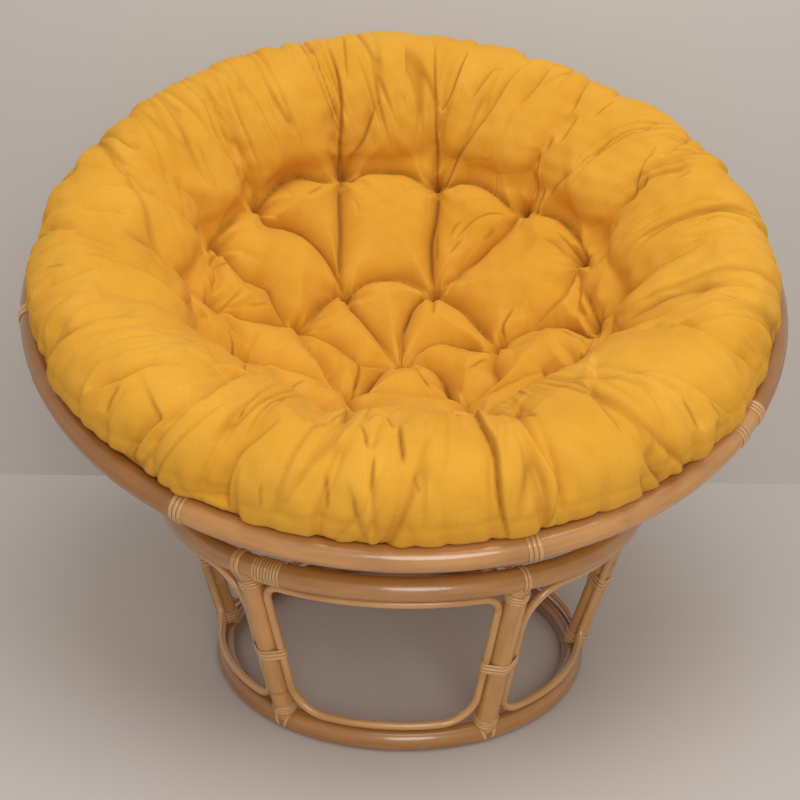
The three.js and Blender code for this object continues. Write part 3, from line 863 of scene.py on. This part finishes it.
roll_folds_px = [
    (1, [(250, 213), (242, 195), (232, 165), (219, 146), (205, 108), (186, 95), (164, 93)]),
    (0.6, [(227, 162), (211, 140), (194, 119), (179, 109), (163, 98), (146, 96)]),
    (1, [(208, 267), (200, 251), (186, 227), (171, 216), (155, 208), (132, 184), (109, 170), (93, 160)]),
    (0.5, [(170, 216), (151, 203), (119, 195), (101, 192)]),
    (0.7, [(148, 162), (132, 152), (116, 145), (97, 144), (81, 152)]),
    (0.4, [(135, 125), (125, 119), (107, 124)]),
    (0.35, [(132, 184), (100, 178), (73, 172)]),
    (0.8, [(203, 321), (179, 309), (163, 293), (151, 285), (132, 277), (116, 267), (97, 258)]),
    (0.5, [(122, 256), (100, 248), (76, 243), (65, 245)]),
    (0.45, [(125, 223), (109, 216), (84, 219)]),
    (0.45, [(84, 235), (68, 237), (49, 237)]),
    (0.6, [(44, 305), (60, 293), (79, 285), (100, 278)]),
    (0.3, [(73, 275), (52, 276)]),
    (0.3, [(84, 192), (71, 198), (57, 200)]),
    (1, [(342, 183), (344, 167), (342, 142), (342, 119), (340, 94), (334, 71), (326, 51)]),
    (0.6, [(346, 170), (356, 151), (365, 135), (372, 113), (381, 103)]),
    (0.5, [(313, 63), (300, 51), (294, 46)]),
    (0.4, [(348, 91), (345, 71), (344, 46)]),
    (1, [(438, 193), (436, 173), (435, 142), (437, 102), (435, 78), (434, 49)]),
    (0.8, [(441, 111), (452, 94), (460, 76), (468, 59)]),
    (0.5, [(505, 75), (495, 74), (478, 93), (469, 106)]),
    (0.9, [(439, 193), (455, 161), (467, 144), (481, 127), (496, 108), (509, 84), (521, 74), (539, 70)]),
    (0.7, [(552, 73), (541, 87), (531, 100), (517, 112)]),
    (0.6, [(593, 87), (581, 100), (571, 119)]),
    (0.6, [(580, 121), (566, 140), (558, 144)]),
    (0.4, [(555, 137), (546, 152)]),
    (0.8, [(530, 219), (539, 206), (546, 184)]),
    (0.5, [(531, 206), (536, 178), (539, 147)]),
    (0.5, [(541, 206), (562, 183), (577, 174)]),
    (0.35, [(593, 166), (606, 152), (616, 143)]),
    (0.35, [(615, 108), (593, 125)]),
    (1, [(593, 275), (610, 255), (620, 228), (628, 209), (636, 184), (648, 166), (660, 153)]),
    (0.7, [(634, 203), (642, 190), (650, 177)]),
    (0.6, [(664, 165), (680, 153), (691, 146), (707, 144)]),
    (0.5, [(642, 142), (652, 133), (668, 127)]),
    (0.3, [(675, 185), (693, 181)]),
    (1, [(605, 342), (620, 327), (629, 310), (639, 292), (655, 276), (672, 263), (691, 255), (707, 249)]),
    (0.6, [(687, 241), (698, 232), (709, 230), (720, 224), (736, 228), (752, 238)]),
    (0.5, [(687, 211), (703, 208), (723, 212)]),
    (0.5, [(688, 252), (703, 244), (723, 244), (742, 244)]),
    (0.35, [(668, 300), (687, 296), (709, 297)]),
    (0.5, [(717, 303), (734, 311)]),
    (0.4, [(711, 287), (728, 290), (752, 299)]),
    (0.8, [(680, 331), (699, 341), (717, 351), (735, 363), (751, 375), (757, 382)]),
    (1, [(589, 389), (611, 387), (633, 385), (647, 381), (661, 381), (674, 387), (689, 395),
        (704, 401), (717, 410), (726, 423)]),
    (0.4, [(698, 403), (708, 414), (708, 425)]),
    (0.6, [(701, 420), (701, 436), (704, 454)]),
    (0.4, [(671, 403), (682, 417), (688, 432)]),
    (0.6, [(588, 391), (594, 406), (605, 422), (619, 444)]),
    (0.7, [(633, 454), (642, 466), (654, 475), (660, 489)]),
    (0.4, [(629, 466), (633, 480), (642, 491)]),
    (1, [(473, 411), (478, 425), (484, 435), (495, 451), (496, 468), (496, 486), (498, 505),
        (504, 524), (508, 536)]),
    (0.8, [(487, 422), (506, 418), (521, 429), (532, 448), (548, 466), (558, 485), (552, 496),
        (543, 514), (534, 529)]),
    (0.8, [(508, 414), (530, 420), (543, 424)]),
    (0.7, [(346, 409), (347, 416), (343, 431), (334, 446), (330, 457)]),
    (0.5, [(360, 433), (367, 446), (369, 459)]),
    (0.4, [(374, 429), (386, 429), (395, 442)]),
    (0.6, [(398, 435), (402, 453), (404, 474)]),
    (0.5, [(413, 477), (421, 496)]),
    (0.35, [(376, 461), (373, 481), (373, 498)]),
    (0.3, [(354, 492), (359, 514)]),
    (1, [(239, 385), (222, 394), (210, 403), (198, 411), (181, 423), (170, 434), (158, 447), (150, 454)]),
    (0.8, [(165, 418), (153, 432), (143, 446), (138, 458), (141, 470)]),
    (0.7, [(182, 375), (163, 375), (143, 379), (125, 386), (98, 392)]),
    (0.5, [(129, 389), (120, 401), (118, 416)]),
    (0.5, [(179, 339), (196, 351), (206, 365), (215, 377)]),
    (0.7, [(210, 337), (225, 342), (236, 365), (238, 385)]),
    (0.5, [(60, 353), (77, 341), (94, 330), (117, 329)]),
    (0.45, [(234, 432), (244, 415), (261, 406)]),
    (0.8, [(232, 499), (236, 473), (246, 454), (263, 444), (280, 435)]),
    (0.5, [(301, 434), (315, 427), (329, 427)]),
    (0.5, [(329, 470), (328, 489), (329, 509)]),
    (0.3, [(267, 480), (268, 501)]),
]


def cushion_profile():
    """The cushion's section from its middle to where it rests on the rim: radius, height over the
    rim's plane and length along it. A dish, then a quarter ellipse up to the roll's crest and
    another ellipse down its outside, smoothed where they meet."""
    radius = np.arange(0, crest - inner_face, 4 * MM)
    dish = (seat_drop + crest_height) * (radius / crest) ** seat_power - seat_drop
    inside = np.radians(np.arange(180, 90, -3))
    outside = np.radians(np.arange(90, -39, -3))
    rise, fall = crest_height - inner_foot, crest_height - roll_high
    section = np.concatenate([
        np.stack([radius, dish], 1),
        np.stack([
            crest - inner_face * np.abs(np.cos(inside)) ** face_power,
            inner_foot + rise * np.sin(inside) ** face_power,
        ], 1),
        np.stack([crest + roll_wide * np.cos(outside), fall + roll_high * np.sin(outside)], 1),
    ])
    section = resampled(section, 400)
    kernel = np.exp(-np.linspace(-2, 2, 25) ** 2)
    kernel /= kernel.sum()
    padded = np.concatenate([section[12:0:-1] * [-1, 1], section, 2 * section[-1] - section[-2:-14:-1]])
    section = np.stack([np.convolve(padded[:, k], kernel, "valid") for k in range(2)], 1)
    return section, run_length(section)


def waves(points, lengths, seed, count=24):
    """Smooth noise from -1 to 1: a sum of plane waves in random directions. lengths is their wave
    length, or one along each axis of the points."""
    draw = np.random.default_rng(seed)
    angle, phase = draw.uniform(0, TURN, count), draw.uniform(0, TURN, count)
    stretch = draw.uniform(0.6, 1.6, count)
    way = np.stack([np.cos(angle), np.sin(angle)], 0) * stretch * TURN
    return np.cos((points / np.array(lengths)) @ way + phase).sum(1) / math.sqrt(count) / 1.6


def drift(points, length, far, seed):
    """How far two smooth noises move each point along the two axes."""
    return np.stack([waves(points, length, seed), waves(points, length, seed + 1)], 1) * far


def creases(points, lengths, wide, seed):
    """Thin broken creases, from 0 to 1: lines where smooth noise crosses zero, kept only where a
    slower noise is high. wide is how much of the noise's range a line takes."""
    line = np.clip(1 - np.abs(waves(points, lengths, seed, 32)) / wide, 0, 1)
    kept = np.clip(waves(points, 2.2 * np.array(lengths), seed + 1) * 1.6, 0, 1)
    return line * line * kept


def roll_trim(from_middle, around):
    """How much thinner the roll is than the section, at a length from the middle and an angle."""
    trim = np.interp(np.degrees(around + math.pi) % 360 - 180, trim_degrees, trims_mm) * MM
    share = ramp(from_middle, *trim_range)
    return trim * share * share * (3 - 2 * share)


def cushion_at(pixels, section, run, offset):
    """Where the camera sees the made-up surface, moved in by offset, at pixels of the photograph:
    places on the flat cloth. The surface is sampled, projected as the camera does, and the nearest
    sample that faces it is taken, with some favour for one in front."""
    steps = np.arange(0, len(run), 2)
    angle = np.arange(0, 720) / 720 * TURN
    slope = unit(np.gradient(section, axis=0))[steps]
    inward = offset + roll_trim(run[steps][:, None], angle[None])
    radius = section[steps, :1] + slope[:, 1:] * inward
    height = section[steps, 1:] - slope[:, :1] * inward
    points = from_bowl(polar(radius, angle[None], height - rim_depth))
    out = from_bowl(polar(-slope[:, 1:], angle[None], slope[:, :1])) - sphere_centre
    place, right, up, ahead = camera_frame()
    view = points - place
    depth = view @ ahead
    seen = frame_px / 2 + focal_px * np.stack([(view @ right) / depth, -(view @ up) / depth], -1)
    facing = (out * view).sum(-1) < 0
    flat = polar(run[steps][:, None], angle[None])[..., :2]
    seen, flat, depth = seen[facing], flat[facing], depth[facing]
    gap = np.linalg.norm(seen[None] - np.array(pixels, float)[:, None], axis=2)
    score = gap + nearer_px * (depth - depth.min())
    return flat[score.argmin(1)]


def fold_depth(points, route, wide, sharp, start_share=0.001, end_share=0.001, bulge=0.0):
    """How deep a fold along a route draws the cloth in at each point, from 0 to 1. Across the route
    it falls off over wide on one side and over sharp on the other, where the cloth then bulges out,
    and it grows and fades over a share of its length at the start and the end."""
    depth = np.zeros(len(points))
    reach = 6 * max(wide, sharp)
    near = np.flatnonzero(((points > route.min(0) - reach) & (points < route.max(0) + reach)).all(1))
    here = points[near]
    nearest = np.full(len(near), np.inf)
    side, along = np.zeros(len(near)), np.zeros(len(near))
    lengths = np.linalg.norm(np.diff(route, axis=0), axis=1)
    done = 0.0
    for start, end, length in zip(route, route[1:], lengths):
        way = (end - start) / length
        from_start = here - start
        t = np.clip(from_start @ way, 0, length)
        gap = np.linalg.norm(from_start - t[:, None] * way, axis=1)
        closer = gap < nearest
        nearest[closer] = gap[closer]
        side[closer] = (way[0] * from_start[:, 1] - way[1] * from_start[:, 0])[closer]
        along[closer] = (done + t[closer]) / lengths.sum()
        done += length
    fall = np.exp(-nearest / np.where(side > 0, wide, sharp))
    steep = (side > 0) == (wide < sharp)
    swell = np.where(steep, nearest / bulge_at * np.exp(1 - nearest / bulge_at), 0)
    fade = np.clip(along / start_share, 0, 1) * np.clip((1 - along) / end_share, 0, 1)
    depth[near] = (fall - bulge * swell) * fade**0.7
    return depth


def smooth_route(route, count=14):
    """A route through given points, with its corners rounded."""
    line = resampled(route, count)
    inner = (line[:-2] + 2 * line[1:-1] + line[2:]) / 4
    return np.concatenate([line[:1], inner, line[-1:]])


def joining_fold(folds, start, end):
    """The fold that runs from near one tuft to near another, in that order, or None."""
    for fold in folds:
        for way in (fold, fold[::-1]):
            if max(np.linalg.norm(way[0] - start), np.linalg.norm(way[-1] - end)) < fold_reach:
                return way
    return None


def tuft_places(section, run):
    """Places on the flat cloth of the middle tuft, the six round it and the twelve outer ones, two
    of which the front of the roll hides."""
    middle, inner, outer = (
        cushion_at(pixels, section, run, lip) for pixels, lip in (
            (middle_tuft_px, pit_lip), (inner_tufts_px, pit_lip), (outer_tufts_px, tuft_sink - fullness)
        )
    )
    hidden = polar(np.interp(hidden_tufts, section[:200, 0], run[:200]), np.radians(hidden_degrees))[:, :2]
    return middle, inner, np.concatenate([hidden[1:], outer, hidden[:1]])


def valley_shares(flat, warped, tufts, main_folds):
    """How deep each place is, from 0 to 1, in a soft valley between neighbouring tufts, in the
    crease along its bottom, and in a petal, a wide valley from an outer tuft over the roll. A
    valley follows the photograph's fold where one joins its tufts, and bows a little elsewhere."""
    middle, inner, outer = tufts
    links = [(middle[0], tuft) for tuft in inner]
    for i in range(6):
        links += [(inner[i], inner[(i + 1) % 6]), (inner[i], outer[2 * i]), (inner[i], outer[2 * i + 1])]
    links += [(outer[i], outer[(i + 1) % 12]) for i in range(12)]
    valley, crease, petal = np.zeros((3, len(flat)))
    bow = np.random.default_rng(5)
    for i, (start, end) in enumerate(links):
        across = np.array([start[1] - end[1], end[0] - start[0]])
        across = across * bow.uniform(*valley_bows) * bow.choice([-1, 1])
        weight = bow.uniform(0.8, 1.0) * (rim_valley_share if i >= len(links) - len(outer) else 1)
        shown = joining_fold(main_folds, start, end)
        if shown is None:
            link, cloth = smooth_route(np.array([start, (start + end) / 2 + across, end]), 9), warped
        else:
            link, cloth = smooth_route(np.concatenate([[start], shown, [end]])), flat
        valley = np.maximum(valley, weight * fold_depth(cloth, link, valley_wide, valley_wide))
        crease = np.maximum(crease, weight * fold_depth(cloth, link, valley_crease, valley_crease))
    for tuft in outer:
        way = np.array([tuft, unit(tuft) * petal_end])
        petal = np.maximum(petal, fold_depth(warped, way, petal_wide, petal_wide, 0.001, 0.8))
    return valley, crease, petal


def tuft_relief(flat, section, run):
    """How far the tufts draw the cover in, and the painted shade in them, from 0 to 1: a deep
    pointed pit at each, wrinkles round it, and the valleys, with painted shade at each tuft and
    along the valleys' creases. Also the places bent by smooth noise, and how loose the cloth is,
    from 0 at a tuft to 1."""
    tufts = tuft_places(section, run)
    to_tuft = flat[:, None] - np.concatenate(tufts)[None]
    gap = np.linalg.norm(to_tuft, axis=2)
    nearest, at_tuft = gap.argmin(1), gap.min(1)
    spoke = to_tuft[np.arange(len(flat)), nearest]
    bearing = np.arctan2(spoke[:, 1], spoke[:, 0])
    loose = np.clip(at_tuft / loose_from, 0, 1)
    bend = drift(flat, 160 * MM, 13 * MM, 3) + drift(flat, 50 * MM, 2.5 * MM, 7)
    warped = flat + bend * loose[:, None]

    main_folds = [route for share, route in seat_folds_px if share > joining_from]
    main_folds = [cushion_at(route, section, run, seat_fold_inset) for route in main_folds]
    valley, crease, petal = valley_shares(flat, warped, tufts, main_folds)
    # Painted shade: dark at each tuft and along the creases of the valleys
    painted_shade = np.maximum(np.exp(-at_tuft / dark_tuft), crease**1.5 * 0.6)
    valley = (1 - crease_share) * valley + crease_share * crease
    pit = (1 - point_share) * np.exp(-at_tuft / tuft_wide) + point_share * np.exp(-at_tuft / tuft_point)
    sink = np.maximum(np.maximum(valley * valley_sink, pit * tuft_sink), petal * petal_sink)
    turned = bearing * pucker_count / 2 + nearest * 1.9 + waves(flat, 80 * MM, 9)
    rays = 1 - 2 * np.abs(np.sin(turned))
    sink += rays * np.exp(-at_tuft / pucker_wide) * np.clip(at_tuft / pucker_start, 0, 1) * pucker_sink
    return sink, painted_shade, warped, loose


def fold_relief(flat, section, run):
    """How far the photograph's folds draw the cover in, and the painted shade along them: a thin
    dark line on each. A fold is steep on its side towards the front, and an upright one by turns on either
    side."""
    folds, lines = np.zeros((2, len(flat)))
    shown = [(share, route, True) for share, route in seat_folds_px]
    shown += [(share, route, False) for share, route in roll_folds_px]
    for k, (share, route, in_seat) in enumerate(shown):
        inset = seat_fold_inset if in_seat else roll_fold_inset
        places = smooth_route(cushion_at(route, section, run, inset))
        main = share > main_from
        wide = seat_fold_wide if in_seat else long_fold_wide if main else short_fold_wide
        sides = (wide, steep_side)
        chord = places[-1] - places[0]
        lean = upright_lean * abs(chord[1])
        upright = abs(chord[0]) <= lean
        if chord[0] < -lean or (upright and k % 2):
            sides = sides[::-1]
        depth = share * min(1, run_length(places)[-1] / full_depth_run)
        depth *= (seat_fold if in_seat else roll_fold) * (upright_share if upright else 1)
        start_share, end_share = (0.02, 0.5) if main else (0.3, 0.25)
        fold = fold_depth(flat, places, *sides, start_share, end_share, bulge_share)
        folds = np.maximum(folds, fold * depth)
        # A thin line of painted shade along each fold
        line = fold_depth(flat, places, fold_line, fold_line, start_share, 0.25) ** 1.5
        lines = np.maximum(lines, line * min(1, share + 0.4))
    return folds, lines


def gather_relief(flat):
    """How far the gathers at the seam draw the cover in."""
    folds = np.zeros(len(flat))
    draw = np.random.default_rng(21)
    for k in range(gathers):
        place = (k + draw.uniform(0, 0.8)) / gathers * TURN
        ends_run = np.array([draw.uniform(*gather_start), draw.uniform(*gather_end)])
        ends_at = polar(ends_run, place + draw.uniform(-0.06, 0.06, 2))[:, :2]
        sides = (draw.uniform(*gather_steep), draw.uniform(*gather_slow))
        fold = fold_depth(flat, ends_at, *(sides if k % 2 else sides[::-1]), 0.6, 0.3, 0.15)
        folds = np.maximum(folds, fold * draw.uniform(*gather_sink))
    return folds


def crease_relief(from_middle, around, warped, loose):
    """How far fine creases draw the cover in, and the painted shade along them: long ones outside
    the roll, slanted ones all over the roll, and a faint rumple in the seat."""
    cloth = np.stack([around * crest, from_middle], 1)
    sink = ramp(from_middle, *outside_range) * creases(cloth, (60 * MM, 300 * MM), 0.6, 11) * crease_sink
    slanted = cloth[:, 0] + 0.55 * from_middle * waves(cloth, 1100 * MM, 31)
    slanted = np.stack([slanted, from_middle], 1)
    small = creases(slanted, (50 * MM, 300 * MM), 0.55, 33)
    small += creases(slanted, (36 * MM, 200 * MM), 0.6, 35) * 0.5
    on_roll = ramp(from_middle, *roll_range)
    rumple = creases(warped, 90 * MM, 0.22, 41) * loose * (1 - on_roll)
    sink += on_roll * small * fine_crease_sink + rumple * rumple_sink
    # Painted shade along the roll's fine creases and, fainter, along the rumple
    return sink, np.maximum(on_roll * small * 0.6, rumple * 0.2)


def cushion_relief(flat, section, run):
    """How far the cover is drawn in, along the section's normal, at places on the flat cloth, and
    how much painted shade each place gets in its tufts, folds and creases, from 0 to 1. It adds up
    the tufts, the folds and gathers, the fine creases, the seam and low waves."""
    sink, painted_shade, warped, loose = tuft_relief(flat, section, run)
    folds, lines = fold_relief(flat, section, run)
    folds = np.maximum(folds, gather_relief(flat))
    sink = np.maximum(sink, folds) + 0.6 * np.minimum(sink, folds)
    around = np.arctan2(flat[:, 0], -flat[:, 1])
    from_middle = np.linalg.norm(flat, axis=1)
    fine, fine_lines = crease_relief(from_middle, around, warped, loose)
    sink += fine + np.exp(-(((from_middle - seam_run) / seam_wide) ** 2)) * seam_sink
    sink += waves(flat, 130 * MM, 5) * 3.5 * MM + waves(flat, 45 * MM, 6) * 1 * MM
    # Painted shade of the tufts, the folds and the fine creases together
    painted_shade = np.maximum(np.maximum(painted_shade, lines), fine_lines)
    return sink - fullness + roll_trim(from_middle, around), painted_shade


def underside_points(angle):
    """The underside in the bowl's frame, row by row from the rim in to the middle: round the rim,
    and then on the sphere inside the hoops. There the cloth is held in at the hoops and at the
    tufts, which go right through, and swells out between them towards the ribs."""
    from_axis = np.linspace(math.asin(underside_edge / cushion_sphere), 0, 116)[:-1]
    arc = cushion_sphere * from_axis[:, None]
    flat = polar(arc, angle[None])[..., :2].reshape(-1, 2)
    tufts = [np.zeros(2)]
    for count, radius in under_tufts:
        place = first_tuft + np.arange(count) / count * TURN + (count == 6) * TURN / 24
        tufts += list(polar(radius, place)[:, :2])
    tufts = np.array(tufts)
    at_tuft = np.full(len(flat), np.inf)
    for tuft in tufts:
        at_tuft = np.minimum(at_tuft, np.linalg.norm(flat - tuft, axis=1))
    bend = drift(flat, 140 * MM, 10 * MM, 51)
    warped = flat + bend * np.clip(at_tuft / loose_from, 0, 1)[:, None]
    valley = np.zeros(len(flat))
    for i, start in enumerate(tufts):
        for end in tufts[i + 1 :]:
            if np.linalg.norm(end - start) < under_neighbour:
                way = np.array([start, end])
                valley = np.maximum(valley, fold_depth(warped, way, under_valley, under_valley))
    for tuft in tufts[7:]:
        way = np.array([tuft, tuft * 1.6])
        valley = np.maximum(valley, fold_depth(warped, way, under_petal, under_petal, 0.001, 0.8))
    around = np.broadcast_to(angle * crest, (len(from_axis), len(angle))).ravel()
    cloth = np.stack([around, np.linalg.norm(flat, axis=1)], 1)
    rumple = creases(cloth, (80 * MM, 400 * MM), 0.6, 54)
    # Painted shade at the underside's tufts, and fainter in its valleys and rumples
    painted_shade = np.maximum(np.exp(-at_tuft / dark_tuft), 0.5 * np.maximum(valley**3, rumple))
    swell = under_swell - under_valley_sink * valley - under_tuft_sink * np.exp(-at_tuft / pucker_start)
    swell += under_wave * waves(flat, under_wave_length, 53) - under_rumple * rumple
    swell = swell.reshape(len(from_axis), -1)
    from_line = cushion_sphere * np.sin(from_axis)[:, None]
    off_rib = np.full(swell.shape, np.inf)
    for degrees in rib_degrees:
        aside = np.abs((angle - math.radians(degrees) + TURN / 2) % TURN - TURN / 2)
        off_rib = np.minimum(off_rib, np.where(aside < TURN / 4, aside * from_line, 1))
    swell = np.minimum(swell, at_rib_room + off_rib_room * ramp(off_rib, *rib_range))
    for radius in hoop_radii.values():
        off_hoop = np.abs(arc - cushion_sphere * math.asin(radius / hoop_sphere))
        swell = np.where(swell > 0, swell * ramp(off_hoop, *hoop_range), swell)
    swell *= np.clip((arc[0] - arc) / loose_from, 0, 1)
    ball = cushion_sphere + swell
    points = polar(ball * np.sin(from_axis)[:, None], angle[None], -ball * np.cos(from_axis)[:, None])
    edge = np.array(edge_rows) - [0, rim_depth]
    return np.concatenate([polar(edge[:, :1], angle[None], edge[:, 1:]), points]), painted_shade


def build_cushion():
    """The cover as one closed mesh: the section turned about the bowl's axis, drawn in along its
    normal by the relief, pushed clear of the rim, and joined to the underside. Its UV is the flat
    cloth in metres."""
    section, run = cushion_profile()
    edge = run[-1]
    rows, columns = 260, 1350
    from_middle = np.linspace(0, 1, rows + 1)[1:] ** 0.9 * edge
    angle = np.arange(columns) / columns * TURN
    flat = polar(from_middle[:, None], angle[None])[..., :2].reshape(-1, 2)
    # fold is painted shade in the tufts, folds and creases, from 0 to 1
    sink, fold = cushion_relief(np.concatenate([flat, [[0, 0]]]), section, run)
    centre_sink = sink[-1]
    sink, fold = sink[:-1].reshape(rows, columns), fold[:-1].reshape(rows, columns)
    sink[1:-1] = (sink[:-2] + 6 * sink[1:-1] + sink[2:]) / 8
    sink = (np.roll(sink, 1, 1) + 6 * sink + np.roll(sink, -1, 1)) / 8
    sink *= np.clip((edge - from_middle) / hem, 0, 1)[:, None]

    slope = unit(np.gradient(section, axis=0))
    radius, height, lean, rise = (
        np.interp(from_middle, run, values)[:, None] for values in (*section.T, *slope.T)
    )
    radius, height = radius + rise * sink, height - lean * sink
    off_rim = np.stack([radius - rim_radius, height], -1)
    gap = np.linalg.norm(off_rim, axis=-1, keepdims=True)
    off_rim *= np.maximum(1, (rim_pole + rim_clear) / gap)
    top = polar(rim_radius + off_rim[..., 0], angle[None], off_rim[..., 1] - rim_depth).reshape(-1, 3)
    under, under_painted_shade = underside_points(angle)
    under_rows = len(under)
    under = under.reshape(-1, 3)
    ends = [[0, 0, section[0, 1] - centre_sink - rim_depth], [0, 0, -cushion_sphere]]
    points = np.concatenate([top, under, ends])
    all_rows = rows + under_rows
    ring = np.arange(columns)
    after = (ring + 1) % columns
    last = (all_rows - 1) * columns
    first_fan = np.stack([np.full(columns, len(points) - 2), after, ring], 1)
    last_fan = np.stack([np.full(columns, len(points) - 1), last + ring, last + after], 1)
    faces = grid_faces(all_rows, columns, False).tolist() + first_fan.tolist() + last_fan.tolist()
    if signed_volume(points, faces) < 0:
        faces = [f[::-1] for f in faces]
    below = edge + np.arange(1, under_rows + 1) * under_row
    below = polar(below[:, None], angle[None])[..., :2].reshape(-1, 2)
    cloth = np.concatenate([flat, below, [[0, 0], [2, 2]]])
    uv = np.concatenate([cloth[f] for f in faces])
    hems = np.zeros(2 * columns)
    # The fold mark carries painted shade for the cotton: dark in tufts, folds and creases
    marks = {"fold": np.concatenate([fold.ravel(), hems, under_painted_shade, [1, 1]])}
    replaced, finish = ["seat_cushion"], cotton_finish
    piece = add_piece("cushion", from_bowl(points), faces, "cushion", finish, replaced, uv, marks)


build_base()
build_bowl()
build_cushion()

# Stage, lights and camera


def paint(name, code, airy):
    """Matt paint, seen from its front side only: from behind or below it is clear, so that the
    chair shows. Where it is airy it is there for the camera only, and the air's light reaches the
    chair through it."""
    material, tree = new_material(name)
    path = add_node(tree, "ShaderNodeLightPath")
    side = add_node(tree, "ShaderNodeNewGeometry")
    camera_ray = path.outputs["Is Camera Ray"]
    there = add_node(tree, "ShaderNodeMath", {0: camera_ray, 1: 1.0 - airy}, operation="MAXIMUM")
    seen = add_node(
        tree, "ShaderNodeMath", {0: there.outputs[0], 1: side.outputs["Backfacing"]}, operation="SUBTRACT"
    )
    clear = add_node(tree, "ShaderNodeBsdfTransparent")
    matt = add_node(
        tree,
        "ShaderNodeBsdfPrincipled",
        {"Base Color": linear(code), "Roughness": 0.7, "Specular IOR Level": 0.2},
    )
    sockets = {0: seen.outputs[0], 1: clear.outputs[0], 2: matt.outputs[0]}
    mixed = add_node(tree, "ShaderNodeMixShader", sockets)
    add_node(tree, "ShaderNodeOutputMaterial", {"Surface": mixed.outputs[0]})
    return material


wall_place = 590 * MM
room = 6000 * MM


def add_stage():
    """A level floor that the chair stands on, and an upright wall behind it."""
    square = [(-room, -room), (room, -room), (room, room), (-room, room)]
    level = [(x, y, 0) for x, y in square]
    upright = [(x, wall_place, max(z, 0)) for x, z in square]
    for name, corners, code, airy in (
        ("floor", level, "#c8c0bb", 0.0),
        ("backdrop", upright, "#c6c0ba", 1.0),
    ):
        mesh = bpy.data.meshes.new(name)
        mesh.from_pydata(corners, [], [(0, 1, 2, 3)])
        mesh.materials.append(paint(f"matt paint, {name}", code, airy))
        stage_piece = bpy.data.objects.new(name, mesh)
        bpy.context.scene.collection.objects.link(stage_piece)


def add_lamp(name, place, aim, size, watts):
    """A round soft light at a place, turned to what it lights."""
    lamp = bpy.data.lights.new(name, "AREA")
    lamp.shape, lamp.size, lamp.energy = "DISK", size, watts
    holder = bpy.data.objects.new(name, lamp)
    holder.location = place
    holder.rotation_euler = (Vector(aim) - Vector(place)).to_track_quat("-Z", "Y").to_euler()
    bpy.context.scene.collection.objects.link(holder)


def add_camera():
    """The camera at the photograph's viewpoint."""
    place, right, up, ahead = camera_frame()
    camera = bpy.data.cameras.new("camera")
    camera.lens, camera.sensor_width = focal_px * sensor_mm / frame_px, sensor_mm
    holder = bpy.data.objects.new("camera", camera)
    turn = Matrix(np.stack([right, up, -ahead], 1).tolist()).to_4x4()
    holder.matrix_world = Matrix.Translation(place.tolist()) @ turn
    bpy.context.scene.collection.objects.link(holder)
    bpy.context.scene.camera = holder


def add_light():
    """Soft daylight from all round, a large lamp overhead and one in front."""
    scene = bpy.context.scene
    scene.view_settings.view_transform = "Standard"
    world = bpy.data.worlds.new("studio air")
    world.use_nodes = True
    world.node_tree.nodes.clear()
    glow = add_node(world.node_tree, "ShaderNodeBackground", {"Color": linear("#fffaf2"), "Strength": 0.5})
    add_node(world.node_tree, "ShaderNodeOutputWorld", {"Surface": glow.outputs[0]})
    scene.world = world
    add_lamp("overhead", (0.25, -0.75, 2.6), (0, 0, 0.5), 2.0, 28)
    add_lamp("front", (0.3, -2.8, 1.5), (0, 0, 0.3), 1.4, 25)


add_stage()
add_light()
add_camera()
